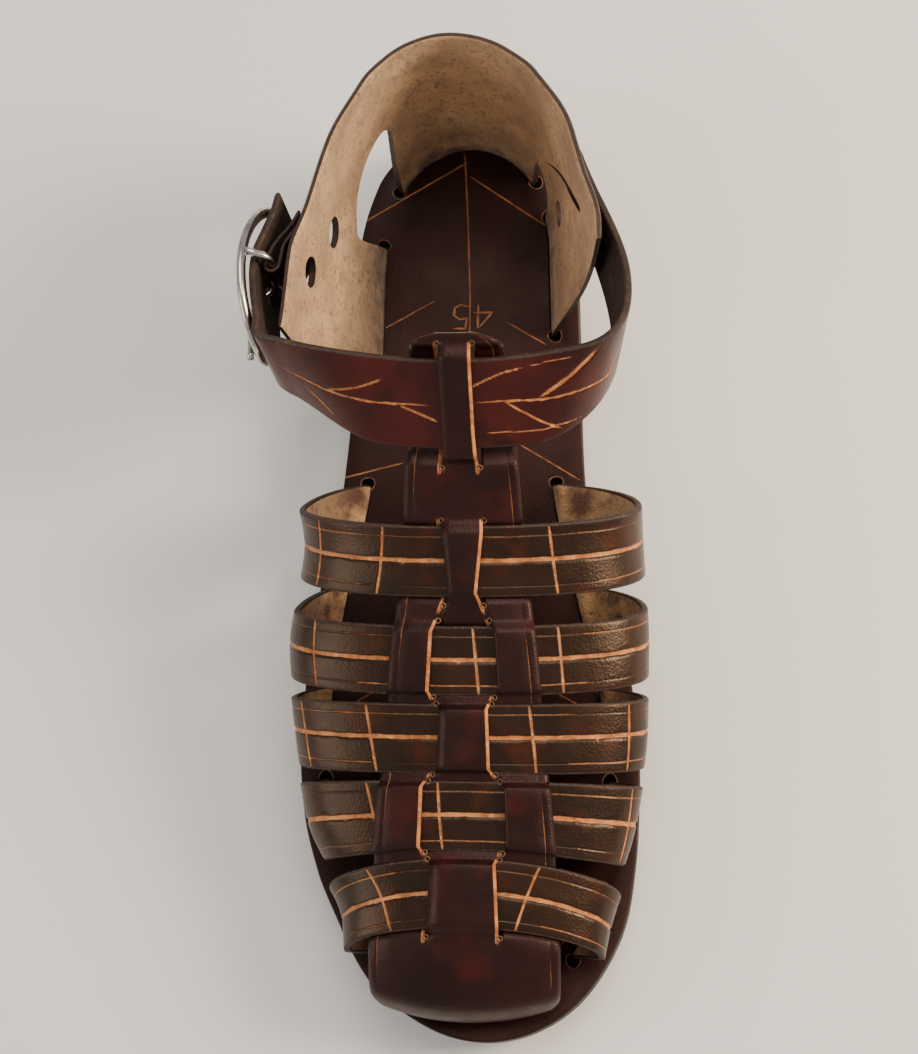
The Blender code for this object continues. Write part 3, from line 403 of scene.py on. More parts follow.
def wall_middle(distance, height):
    place, out = HEEL.at(distance)
    up = max(0.0, (height - STEM) / (counter_height(distance) - STEM))
    push = BALL_WIDTH * COUNTER_LEAN(distance) * up + COUNTER_BULGE * math.sin(math.pi * min(up, 1.0))
    x = place[0] + out[0] * push
    y = place[1] + out[1] * push
    return Vector((x, y, bed(share_of(place[1])) + height))


def wall(distance, height, off=0.0):
    """A point off the middle of the counter's leather, outwards."""
    centre = wall_middle(distance, height)
    if off == 0.0:
        return centre
    step = 0.001
    round_way = wall_middle(distance + step, height) - wall_middle(distance - step, height)
    up_way = wall_middle(distance, height + step) - centre
    normal = up_way.cross(round_way).normalized()
    out = HEEL.at(distance)[1]
    if normal.x * out[0] + normal.y * out[1] < 0:
        normal = -normal
    return centre + normal * off


class Ridge:
    """The curve over the instep that the tongue follows, measured along its length."""

    def __init__(self):
        names = LAST[0]
        rows = LAST[1:]
        y = [along(row[0]) for row in rows]
        z = [row[1] * INSTEP_HEIGHT for row in rows]
        steps = [math.hypot(y[i + 1] - y[i], z[i + 1] - z[i]) for i in range(len(y) - 1)]
        knots = np.concatenate([[0], np.cumsum(steps)])
        self.length = float(knots[-1])
        self.values = {name: Curve(knots, [row[k] for row in rows]) for k, name in enumerate(names)}
        self.y = Curve(knots, y)
        self.z = Curve(knots, z)
        runs = np.linspace(0, self.length, 800)
        self.runs = (runs, np.array([self.y(r) for r in runs]))

    def run_at(self, share):
        return float(np.interp(along(share), self.runs[1], self.runs[0]))


RIDGE = Ridge()


def over_foot(run, reach, slot_share=None):
    """A point of the upper's middle surface: run up the ridge, reach off it, medial +."""
    span = RIDGE.values["medial" if reach > 0 else "lateral"](run) * BALL_WIDTH
    xi = min(abs(reach) / span, 1.0)
    low = RIDGE.values["side"](run)
    level = low + (1 - low) * (1 - xi**ARCH_POWER) ** (1 / ARCH_POWER)
    if slot_share is None:
        slot_share = RIDGE.values["slot"](run)
    ridge_y = RIDGE.y(run)
    back = (along(slot_share) - ridge_y) * (1 - level)
    back += RIDGE.values["bow"](run) * BALL_WIDTH * (reach / BOW_REACH) ** 2
    y = ridge_y + back
    return Vector((RIDGE_X + reach, y, bed(share_of(y)) + RIDGE.z(run) * level))


def away_from_foot(run, reach):
    """The direction out of the upper's surface there."""
    step = 0.0015
    low_run = max(run - step, 0.0)
    high_run = min(run + step, RIDGE.length)
    up_way = over_foot(high_run, reach) - over_foot(low_run, reach)
    across = over_foot(run, reach + step) - over_foot(run, reach - step)
    return across.cross(up_way).normalized()


def lifted(run, reach, lift):
    """The same point moved off the surface along its normal."""
    return over_foot(run, reach) + away_from_foot(run, reach) * lift


def strap_steps(low, high):
    """The stages of one half of a cross strap, from its tail in the slot up to its crown."""
    steps = [("tail", 0.0), ("stem", 0.0)]
    steps += [("low", k / low) for k in range(1, low)]
    steps += [("high", k / high) for k in range(high + 1)]
    return steps


def strap_point(side, crown, slot, w, kind, step):
    """A point of a cross strap's middle surface: w is -1 on its toe edge and 1 on its heel edge."""
    inset = LATERAL_INSET if side < 0 else MEDIAL_INSET
    run = RIDGE.run_at(crown) + w * STRAP_WIDTH / 2
    slot_share = slot + w * (STRAP_WIDTH / 2) / SOLE_LENGTH
    slot_x = rim(side, slot_share, inset)
    slot_y = along(slot_share)
    floor = bed(slot_share)
    if kind == "tail":
        return Vector((slot_x, slot_y, floor - FOOTBED + TAIL_LIFT))
    if kind == "stem":
        return Vector((slot_x, slot_y, floor + STEM))
    span = RIDGE.values["medial" if side > 0 else "lateral"](run) * BALL_WIDTH
    turn = step * math.pi / 2
    if kind == "high":
        reach = side * span * max(math.cos(turn), 0.0) ** (2 / ARCH_POWER)
        return over_foot(run, reach, slot_share)
    top = over_foot(run, side * span, slot_share)
    out = math.sin(turn)
    up = 0.35 * step + 0.65 * (1 - math.cos(turn))
    base = floor + STEM
    x = slot_x + (top.x - slot_x) * out
    y = slot_y + (top.y - slot_y) * up
    return Vector((x, y, base + (top.z - base) * up))


class BuckleFrame:
    """Axes at the middle of the buckle's bar: forward along the strap, up its width, outwards."""

    def __init__(self):
        self.centre = wall(BAR_ROUND, BAR_RISE, BAR_OFF)
        out = (wall(BAR_ROUND, BAR_RISE, 0.01) - wall(BAR_ROUND, BAR_RISE)).normalized()
        out = Vector((out.x, 0.0, out.z)).normalized()
        level = Vector((0.0, -1.0, 0.0))
        up = out.cross(level).normalized()
        if up.z < 0:
            up = -up
        self.out = out
        self.forward = (level * math.cos(BUCKLE_TILT) + up * math.sin(BUCKLE_TILT)).normalized()
        self.up = (up * math.cos(BUCKLE_TILT) - level * math.sin(BUCKLE_TILT)).normalized()

    def point(self, forward, up, out):
        return self.centre + self.forward * forward + self.up * up + self.out * out


AXES = BuckleFrame()


def leaning(row, side, half):
    """One row of the ankle strap beside the crown, from its toe edge to its heel edge."""
    x, share, rise, back, out = row
    back = math.radians(back)
    out = math.radians(out)
    way = Vector((side * math.cos(back) * math.sin(out), math.sin(back), math.cos(back) * math.cos(out)))
    centre = Vector((x, along(share), bed(0.577) + rise))
    return [centre + way.normalized() * half * w for w in (-1, 0, 1)]


def against_wall(distance, height, off, tilt, half):
    sign = -1 if distance > 0 else 1
    return [wall(distance + sign * w * half * math.sin(tilt), height + w * half * math.cos(tilt), off)
            for w in (-1, 0, 1)]


def ankle_knots():
    """Rows of three points across the ankle strap, from its inner end over to the buckle."""
    half = ANKLE_WIDTH / 2
    rows = [against_wall(d, h, LEATHER + THREAD_PLAY, ANKLE_FALL, half) for d, h in ANKLE_MEDIAL_WALL]
    rows += [leaning(row, 1, half) for row in ANKLE_MEDIAL[::-1]]
    middle = RIDGE.run_at(ANKLE[1])
    for reach in (0.008 * k for k in range(3, -4, -1)):
        rows.append([over_foot(middle + w * half, reach) for w in (-1, 0, 1)])
    rows += [leaning(row, -1, half) for row in ANKLE_LATERAL]
    for ahead, out in ANKLE_BUCKLE:
        rows.append([AXES.point(ahead, w * half, out) for w in (-1, 0, 1)])
    return rows


class AnkleStrap:
    """The strap's middle surface: t from its inner end to its tail, w across it."""

    def __init__(self):
        self.rows = ankle_knots()
        centres = [row[1] for row in self.rows]
        steps = [(b - a).length for a, b in zip(centres, centres[1:])]
        self.place = [0.0]
        for step in steps:
            self.place.append(self.place[-1] + step)
        self.length = self.place[-1]

    def edge(self, column, at):
        place = self.place
        k = min(max(int(np.searchsorted(place, at, side="right")) - 1, 0), len(place) - 2)
        step = place[k + 1] - place[k]
        t = (at - place[k]) / step
        value = [row[column] for row in self.rows]

        def slope(i):
            if i == 0:
                return (value[1] - value[0]) / (place[1] - place[0])
            if i == len(place) - 1:
                return (value[-1] - value[-2]) / (place[-1] - place[-2])
            before = (value[i] - value[i - 1]) / (place[i] - place[i - 1])
            after = (value[i + 1] - value[i]) / (place[i + 1] - place[i])
            weight = (place[i] - place[i - 1]) / (place[i + 1] - place[i - 1])
            return before * (1 - weight) + after * weight

        point = value[k] * (2 * t**3 - 3 * t**2 + 1) + value[k + 1] * (-2 * t**3 + 3 * t**2)
        return point + (slope(k) * (t**3 - 2 * t**2 + t) + slope(k + 1) * (t**3 - t**2)) * step

    def point(self, t, w):
        at = min(max(t, 0.0), 1.0) * self.length
        toe, middle, heel = (self.edge(k, at) for k in (0, 1, 2))
        return toe * (w * (w - 1) / 2) + middle * (1 - w * w) + heel * (w * (w + 1) / 2)


STRAP = AnkleStrap()

# The solids were moved so that the middle of their base is at the origin; the pieces follow.
SOLE_LOW, SOLE_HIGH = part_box("outsole")
ARRIS = 0.00065
ARRIS_TURNS = (0.6, 1.1, math.pi / 2)
END_THIN = 0.55
SEAM_DROP = 0.0044
GRAIN, FLESH, EDGE_SIDE = 0, 1, 2
SHIFT = Vector(((SOLE_LOW[0] + SOLE_HIGH[0]) / 2 - (EDGE[:, 0].min() + EDGE[:, 0].max()) / 2,
                (SOLE_LOW[1] + SOLE_HIGH[1]) / 2, 0.0))


def colour(code):
    """An sRGB hex colour as linear red, green, blue and alpha."""
    parts = [int(code[k:k + 2], 16) / 255 for k in (1, 3, 5)]
    return tuple(p / 12.92 if p <= 0.04045 else ((p + 0.055) / 1.055) ** 2.4 for p in parts) + (1.0,)


def add(tree, kind, inputs=(), **settings):
    """Adds a node with its settings; an input, by name or number, is a value or a socket."""
    node = tree.nodes.new(kind)
    for name, value in settings.items():
        setattr(node, name, value)
    for name, value in dict(inputs).items():
        if isinstance(value, bpy.types.NodeSocket):
            tree.links.new(value, node.inputs[name])
        else:
            node.inputs[name].default_value = value
    return node


def blend_colours(tree, amount, first, second):
    return add(tree, "ShaderNodeMix", {0: amount, 6: first, 7: second}, data_type="RGBA").outputs[2]


def reckon(tree, operation, *values, **settings):
    """The result of a Math node on values or sockets."""
    return add(tree, "ShaderNodeMath", dict(enumerate(values)), operation=operation, **settings).outputs[0]


def mapped(tree, value, limits):
    """The value brought from one range to another."""
    return add(tree, "ShaderNodeMapRange", {"Value": value, **limits}).outputs["Result"]


def noise_of(tree, where, millimetres, **inputs):
    inputs = {"Vector": where, "Scale": 1000 / millimetres, **inputs}
    return add(tree, "ShaderNodeTexNoise", inputs).outputs["Fac"]


def blotches(tree, where, millimetres, low, high, detail=3.0):
    """A soft mask from 0 to 1 whose patches are about that size."""
    noise = noise_of(tree, where, millimetres, Detail=detail)
    return mapped(tree, noise, {"From Min": low, "From Max": high})


# Size in millimetres of the fraying where carved hide meets the dyed face.
FRAY = 5 / 7


def material(name, base, rough, bump, metal=0.0, coat=0.0, sheen=0.0, shine=0.5, wax=None,
             carved_too=False):
    """A Principled material whose base, rough and bump are made by functions of its tree."""
    made = bpy.data.materials.new(name)
    made.use_nodes = True
    tree = made.node_tree
    shader = tree.nodes["Principled BSDF"]
    where = add(tree, "ShaderNodeTexCoord").outputs["Object"]
    settings = {"Metallic": metal, "Coat Weight": coat, "Coat Roughness": 0.24, "Sheen Weight": sheen,
                "Specular IOR Level": shine}
    if wax:
        settings.update({"Specular Tint": colour(wax), "Coat Tint": colour(wax)})
    for name, value in settings.items():
        shader.inputs[name].default_value = value
    shade = base(tree, where)
    gloss = rough(tree, where)
    if carved_too:
        raw = add(tree, "ShaderNodeAttribute", attribute_name="bare").outputs["Fac"]
        ragged = noise_of(tree, where, FRAY, Detail=3.0)
        shifted = reckon(tree, "MULTIPLY_ADD", ragged, 0.3, -0.15)
        total = reckon(tree, "ADD", raw, shifted)
        open_hide = mapped(tree, total, {"From Min": 0.28, "From Max": 0.85})
        tan = two_tone("#985a33", "#cf8b55", 4, third="#e2a66d", third_mm=1.6)(tree, where)
        shade = blend_colours(tree, open_hide, shade, tan)
        gloss = reckon(tree, "MULTIPLY_ADD", open_hide, 0.22, gloss, use_clamp=True)
    tree.links.new(shade, shader.inputs["Base Color"])
    tree.links.new(gloss, shader.inputs["Roughness"])
    height, depth = bump(tree, where)
    normal = add(tree, "ShaderNodeBump", {"Height": height, "Distance": depth, "Strength": 1.0})
    tree.links.new(normal.outputs["Normal"], shader.inputs["Normal"])
    return made


def rough_between(low, high, millimetres):
    def build(tree, where):
        mask = blotches(tree, where, millimetres, 0.3, 0.7)
        return mapped(tree, mask, {"To Min": low, "To Max": high})
    return build


def hide_grain(cell, depth):
    """Fine pebbling of a full-grain hide, with a few wider creases under it."""
    def build(tree, where):
        cells = add(tree, "ShaderNodeTexVoronoi", {"Vector": where, "Scale": 1000 / cell})
        creases = noise_of(tree, where, cell * 6, Detail=3.0)
        return reckon(tree, "MULTIPLY_ADD", creases, 1.6, cells.outputs["Distance"]), depth
    return build


def nap(millimetres, depth):
    def build(tree, where):
        return noise_of(tree, where, millimetres, Detail=4.0, Roughness=0.7), depth
    return build


def two_tone(dark, light, millimetres, low=0.35, high=0.7, third=None, third_mm=4.0):
    def build(tree, where):
        patches = blotches(tree, where, millimetres, low, high)
        shade = blend_colours(tree, patches, colour(dark), colour(light))
        if third:
            specks = blotches(tree, where, third_mm, 0.55, 0.75, detail=4.0)
            shade = blend_colours(tree, specks, shade, colour(third))
        return shade
    return build


def suede(tree, where):
    """Undyed flesh side: tan with darker fibres, turning darker brown in patches towards the footbed."""
    shade = two_tone("#b38a5d", "#e2b681", 14, third="#94704b", third_mm=4)(tree, where)
    flecks = blotches(tree, where, 1.6, 0.56, 0.72, detail=4.0)
    shade = blend_colours(tree, flecks, shade, colour("#86623f"))
    # Dark brown patches that grow stronger lower down: full 2 mm above the footbed, gone 22 mm above it.
    height = add(tree, "ShaderNodeSeparateXYZ", {"Vector": where}).outputs["Z"]
    low = mapped(tree, height, {"From Min": SUEDE_DARK_TOP, "From Max": SUEDE_DARK_FOOT})
    patch = reckon(tree, "MULTIPLY", low, blotches(tree, where, 7, 0.34, 0.62, detail=5.0))
    return blend_colours(tree, patch, shade, colour("#5c3623"))


# Heights over the footbed between which the suede's dark brown patches fade in.
SUEDE_DARK_FOOT = bed(0.9) + 0.002
SUEDE_DARK_TOP = bed(0.9) + 0.022

WAX_SHEEN = "#ffdebe"
DYE_SHEEN = "#ffd5c9"

# Vegetable-tanned cowhide, dyed near black over brown and waxed: dark, with a warm satin shine.
WAXED_HIDE = material("waxed_dark_cowhide", two_tone("#140906", "#27130b", 20, third="#3b120b", third_mm=11),
                      rough_between(0.27, 0.40, 9), hide_grain(0.8, 0.00006), coat=0.12, shine=0.42,
                      wax=WAX_SHEEN, carved_too=True)
# The same hide where the dye is plainer, as on the tongue: brown-black, a little duller.
PLUM_HIDE = material("waxed_brown_cowhide",
                     two_tone("#170909", "#28100f", 26, third="#3a0f0d", third_mm=14),
                     rough_between(0.36, 0.50, 8), hide_grain(0.8, 0.00006), coat=0.04, shine=0.34,
                     wax=DYE_SHEEN, carved_too=True)
# Oxblood-dyed hide of the ankle strap: deep red showing through dark brown.
OXBLOOD_HIDE = material("waxed_oxblood_cowhide",
                        two_tone("#2b0c0a", "#461412", 26, third="#1c0908", third_mm=12),
                        rough_between(0.30, 0.42, 9), hide_grain(0.9, 0.00006), coat=0.12, shine=0.4,
                        wax=DYE_SHEEN, carved_too=True)
# Polished insole hide: smoother and shinier from the foot, dark brown.
INSOLE_HIDE = material("burnished_insole_cowhide",
                       two_tone("#190b0a", "#271210", 34, third="#130807", third_mm=15),
                       rough_between(0.40, 0.56, 18), hide_grain(1.2, 0.00004), shine=0.26,
                       wax=DYE_SHEEN)
# Flesh side of the hide, split and undyed: napped suede with brown patches, darker towards the footbed, no
# shine.
FLESH_SIDE = material("undyed_suede_flesh", suede, rough_between(0.86, 0.96, 5), nap(1.3, 0.0011), sheen=0.3)
# Flesh side of the ankle strap and the chape, dyed through: dark brown and matt.
DYED_FLESH = material("dyed_suede_flesh", two_tone("#20120c", "#362117", 9, third="#4a3021", third_mm=2.5),
                      rough_between(0.8, 0.92, 5), nap(0.8, 0.0003))
# Cut edges painted with dark edge dye: dull brown with lighter fibres.
CUT_EDGE = material("dyed_hide_edge", two_tone("#20120c", "#3c2417", 3, third="#563823", third_mm=1.2),
                    rough_between(0.5, 0.7, 3), nap(0.5, 0.00015))
# Raw hide laid bare by the carving knife: tan to orange, waxed over.
CARVED_HIDE = material("carved_raw_hide", two_tone("#7f4c2c", "#b27546", 5, third="#5f3a22", third_mm=2.2),
                       rough_between(0.45, 0.62, 3), nap(0.4, 0.00008))
# Hide frayed by the punch around each hole: dull brown.
PUNCHED_HIDE = material("punched_raw_hide", two_tone("#4a2e1c", "#7d5636", 3, third="#94693f", third_mm=1.5),
                        rough_between(0.6, 0.8, 3), nap(0.4, 0.0001))
# Vulcanised black rubber: matt, faintly dusty.
RUBBER = material("moulded_black_rubber", two_tone("#141211", "#211e1c", 18, third="#2d2926", third_mm=3),
                  rough_between(0.6, 0.8, 6), nap(0.8, 0.00008))
# Cast steel plated with nickel: bright grey mirror with small scuffs.
NICKEL = material("nickel_plated_steel", two_tone("#c9c6c0", "#b3afa8", 6, third="#8f8a82", third_mm=3),
                  rough_between(0.14, 0.28, 3), nap(1.2, 0.00002), metal=1.0)


def new_object(name, data):
    made = bpy.data.objects.new(name, data)
    bpy.context.scene.collection.objects.link(made)
    return made


def new_mesh(name, bm):
    """Writes a shape into a mesh and frees it."""
    mesh = bpy.data.meshes.new(name)
    bm.to_mesh(mesh)
    bm.free()
    return mesh


def grid(across, rows):
    """A flat grid, to be placed point by point."""
    bm = bmesh.new()
    bmesh.ops.create_grid(bm, x_segments=across, y_segments=rows, size=0.5)
    return bm


def grid_place(vert, across, rows):
    """Column and row of a grid's point before it is moved."""
    return round((vert.co.x + 0.5) * across), round((vert.co.y + 0.5) * rows)


def weld(bm, filled=False):
    """Joins the seam of a rolled grid, fills its ends if asked and turns its faces outwards."""
    bmesh.ops.remove_doubles(bm, verts=bm.verts, dist=1e-7)
    ends = []
    if filled:
        rims = [edge for edge in bm.edges if edge.is_boundary]
        ends = bmesh.ops.holes_fill(bm, edges=rims, sides=0)["faces"]
    bmesh.ops.recalc_face_normals(bm, faces=bm.faces)
    return ends


def torus(radius, thickness, sides, steps):
    """A ring round the vertical axis, turned from a circle."""
    bm = bmesh.new()
    made = bmesh.ops.create_circle(bm, cap_ends=False, segments=sides, radius=thickness)
    bmesh.ops.rotate(bm, verts=made["verts"], cent=(0, 0, 0), matrix=Matrix.Rotation(math.pi / 2, 3, "X"))
    bmesh.ops.translate(bm, verts=made["verts"], vec=(radius, 0, 0))
    bmesh.ops.spin(bm, geom=list(bm.verts) + list(bm.edges), cent=(0, 0, 0), axis=(0, 0, 1),
                   angle=2 * math.pi, steps=steps, use_merge=True)
    return bm


def finish_mesh(name, bm, materials):
    """Moves the shape into the sandal's frame, smooths it and hangs it on the body."""
    bmesh.ops.translate(bm, vec=SHIFT, verts=bm.verts)
    mesh = new_mesh(name, bm)
    piece = new_object(name, mesh)
    for made in materials:
        mesh.materials.append(made)
    mesh.shade_smooth()
    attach(piece, "root")
    return piece


def cut(piece, shape, name, lining):
    """Takes a closed shape out of a piece and gives the new faces the lining."""
    bmesh.ops.translate(shape, vec=SHIFT, verts=shape.verts)
    bmesh.ops.recalc_face_normals(shape, faces=shape.faces)
    mesh = new_mesh(name, shape)
    cutter = new_object(name, mesh)
    mesh.materials.append(lining)
    cutter.hide_render = True
    hole = piece.modifiers.new(name, "BOOLEAN")
    hole.material_mode = "TRANSFER"
    hole.operation = "DIFFERENCE"
    hole.solver = "EXACT"
    hole.object = cutter
    return cutter


def settle(piece, cutters):
    """Makes the piece's modifiers part of its mesh and drops the cutters."""
    graph = bpy.context.evaluated_depsgraph_get()
    mesh = bpy.data.meshes.new_from_object(piece.evaluated_get(graph))
    piece.modifiers.clear()
    old = piece.data
    piece.data = mesh
    bpy.data.meshes.remove(old)
    for cutter in cutters:
        bpy.data.objects.remove(cutter)


class Strip:
    """A leather band's middle surface: q runs along its centre line, w from -1 to 1 across it."""

    def __init__(self, point, stages, width, inside, crown=0):
        across = np.linspace(-1, 1, 7)
        samples = np.array([[point(stage, w) for w in across] for stage in stages])
        powers = np.vander(across, 5, increasing=True)
        self.fit = np.einsum("kj,njc->nkc", np.linalg.pinv(powers), samples)
        steps = np.linalg.norm(np.diff(self.fit[:, 0], axis=0), axis=1)
        self.q = np.concatenate([[0], np.cumsum(steps)])
        self.q -= self.q[crown]
        self.width = width
        self.sign = 1.0
        middle = (self.q[0] + self.q[-1]) / 2 if crown == 0 else 0.0
        spot = self.points(middle, 0.0)
        if np.dot(self.normals(middle, 0.0), spot - np.array(inside)) < 0:
            self.sign = -1.0

    def points(self, q, w):
        q, w = np.broadcast_arrays(np.asarray(q, float), np.asarray(w, float))
        made = np.zeros(q.shape + (3,))
        for axis in range(3):
            for power in range(5):
                made[..., axis] += np.interp(q, self.q, self.fit[:, power, axis]) * w**power
        return made

    def normals(self, q, w):
        ahead = self.points(q + 0.0009, w) - self.points(q - 0.0009, w)
        aside = self.points(q, w + 0.04) - self.points(q, w - 0.04)
        cross = np.cross(ahead, aside) * self.sign
        return cross / np.linalg.norm(cross, axis=-1, keepdims=True)


KNIFE_STEP = 0.0012
KNIFE_SHAKE = 0.00007
KNIFE_WALL = 0.00026
CROSS_WIDTH = 0.00078
CROSS_DEPTH = 0.00026
CROSS_BARE = 0.95
VEIN_SLOPE = 0.22


def waver(t, seed):
    """The unsteadiness of a hand-held knife, from about -1 to 1, for t in metres."""
    return 0.55 * np.sin(t * 420 + seed * 1.7) + 0.3 * np.sin(t * 1130 + seed * 3.1) \
        + 0.15 * np.sin(t * 2900 + seed * 5.3)


def stroke(points, width, depth, bare, seed, taper=0.0):
    """One knife stroke on flat leather: its points in metres, drawn unsteadily."""
    made = []
    for (a, b), (c, d) in zip(points, points[1:]):
        count = max(1, int(math.hypot(c - a, d - b) / KNIFE_STEP))
        made += [(a + (c - a) * k / count, b + (d - b) * k / count) for k in range(count)]
    made.append(points[-1])
    made = np.array(made)
    made[1:-1, 1] += waver(made[1:-1, 0] + made[1:-1, 1], seed) * KNIFE_SHAKE
    return made, width, depth, bare, seed, taper


def carved(strokes, u, v):
    """Depth and bareness of the carving at flat places u, v of a leather piece."""
    depth = np.zeros(u.shape)
    bare = np.zeros(u.shape)
    for points, width, deep, strength, seed, taper in strokes:
        low = points.min(axis=0) - 0.002
        high = points.max(axis=0) + 0.002
        near = (u > low[0]) & (u < high[0]) & (v > low[1]) & (v < high[1])
        if not near.any():
            continue
        x = u[near]
        y = v[near]
        best = np.full(x.shape, 1.0)
        place = np.zeros(x.shape)
        for k in range(len(points) - 1):
            way = points[k + 1] - points[k]
            t = np.clip(((x - points[k, 0]) * way[0] + (y - points[k, 1]) * way[1]) / (way @ way), 0, 1)
            away = np.hypot(x - points[k, 0] - t * way[0], y - points[k, 1] - t * way[1])
            closer = away < best
            best = np.where(closer, away, best)
            place = np.where(closer, (k + t) / (len(points) - 1), place)
        half = width / 2 * (1 + 0.09 * np.sin(place * len(points) * 0.9 + seed)
                            + 0.05 * np.sin(place * len(points) * 2.3 + seed * 2))
        ends = np.minimum(place, 1 - place) / 0.15
        fade = 1 - taper * (1 - np.clip(ends, 0, 1))
        inside = np.clip((half * fade - best) / KNIFE_WALL + 0.5, 0, 1)
        inside = inside * inside * (3 - 2 * inside)
        depth[near] = np.maximum(depth[near], deep * inside * fade)
        bare[near] = np.maximum(bare[near], strength * inside * fade)
    return depth, bare


def band(name, strip, rows, slants, columns, strokes, materials, thick=LEATHER):
    """A closed strip of leather: a carved grain side, soft arrises, dyed edges and a plain back."""
    half = thick / 2
    arris = min(ARRIS, 0.4 * thick)
    soft = arris / (strip.width / 2)
    turns = [(1 - math.sin(a), 1 - math.cos(a)) for a in ARRIS_TURNS]
    ring = [(w, half, GRAIN) for w in columns]
    ring += [(1 - soft * s, half - arris * c, EDGE_SIDE) for s, c in turns]
    ring += [(1 - soft * s, arris * c - half, EDGE_SIDE) for s, c in turns[::-1]]
    ring += [(w, -half, FLESH) for w in np.linspace(1 - soft, soft - 1, 7)]
    ring += [(soft * s - 1, arris * c - half, EDGE_SIDE) for s, c in turns]
    ring += [(soft * s - 1, half - arris * c, EDGE_SIDE) for s, c in turns[::-1]]
    w = np.array([r[0] for r in ring])[None, :]
    lift = np.array([r[1] for r in ring])[None, :]
    front = np.array([r[2] == GRAIN for r in ring])[None, :]
    rows = np.array(rows)
    swell = np.ones(len(rows))
    swell[[0, -1]] = END_THIN
    swell[[1, -2]] = 0.88
    q = rows[:, None] + np.array(slants)[:, None] * w
    depth, bare = carved(strokes, q, w * strip.width / 2 + q * 0)
    raised = lift * swell[:, None] - np.where(front, depth, 0.0)
    places = strip.points(q, w) + strip.normals(q, w) * raised[..., None]
    bare = np.where(front, bare, 0.0)
    count = len(ring)
    bm = grid(count, len(rows) - 1)
    mask = bm.verts.layers.float.new("bare")
    for face in bm.faces:
        column = int((face.calc_center_median().x + 0.5) * count)
        face.material_index = max(ring[column][2], ring[(column + 1) % count][2])
        if ring[column][2] != ring[(column + 1) % count][2]:
            face.material_index = EDGE_SIDE
    for vert in bm.verts:
        column, row = grid_place(vert, count, len(rows) - 1)
        vert.co = places[row, column % count]
        vert[mask] = bare[row, column % count]
    for face in weld(bm, filled=True):
        face.material_index = EDGE_SIDE
    return finish_mesh(name, bm, materials)


def two_faced(name, columns, rows, place, gone, materials):
    """A closed leather piece on a grid: place gives the grain point, the flesh point and bareness."""
    bm = grid(columns, rows)
    mask = bm.verts.layers.float.new("bare")
    cell = bm.verts.layers.int.new("cell")
    left_open = []
    for face in bm.faces:
        centre = face.calc_center_median()
        if gone(int((centre.x + 0.5) * columns), int((centre.y + 0.5) * rows)):
            left_open.append(face)
    for vert in bm.verts:
        column, row = grid_place(vert, columns, rows)
        vert[cell] = row * (columns + 1) + column
    bmesh.ops.delete(bm, geom=left_open, context="FACES")
    backs = set(bm.faces)
    grown = bmesh.ops.extrude_face_region(bm, geom=list(bm.faces), use_keep_orig=True)["geom"]
    fronts = {g for g in grown if isinstance(g, bmesh.types.BMFace)}
    outer = {g for g in grown if isinstance(g, bmesh.types.BMVert)}
    for face in bm.faces:
        face.material_index = GRAIN if face in fronts else FLESH if face in backs else EDGE_SIDE
    known = {}
    for vert in bm.verts:
        key = vert[cell]
        if key not in known:
            known[key] = place(key % (columns + 1), key // (columns + 1))
        grain, flesh, bare = known[key]
        vert.co = grain if vert in outer else flesh
        vert[mask] = bare if vert in outer else 0.0
    bmesh.ops.recalc_face_normals(bm, faces=bm.faces)
    return finish_mesh(name, bm, materials)


def close_by(places, spread, step):
    """Extra lines of the mesh around each carved line, so that its walls are crisp."""
    return [place + k * step for place in places for k in range(-spread, spread + 1)]


def merged(values, low, high, least):
    """Sorted values inside their limits, with those that nearly touch left out."""
    made = [low]
    for value in sorted(values):
        if value - made[-1] > least and high - value > least:
            made.append(value)
    return made + [high]


# Lines carved along a strap: place across it, width, depth and how bare the hide is.
LONG_LINES = (
    (0.04, 0.00125, 0.00034, 1.0),
    (0.70, 0.00042, 0.00013, 0.62),
    (-0.70, 0.00042, 0.00013, 0.62),
)
# Share of a strap's half length that lies over the foot.
ABOVE_SLOTS = 0.72


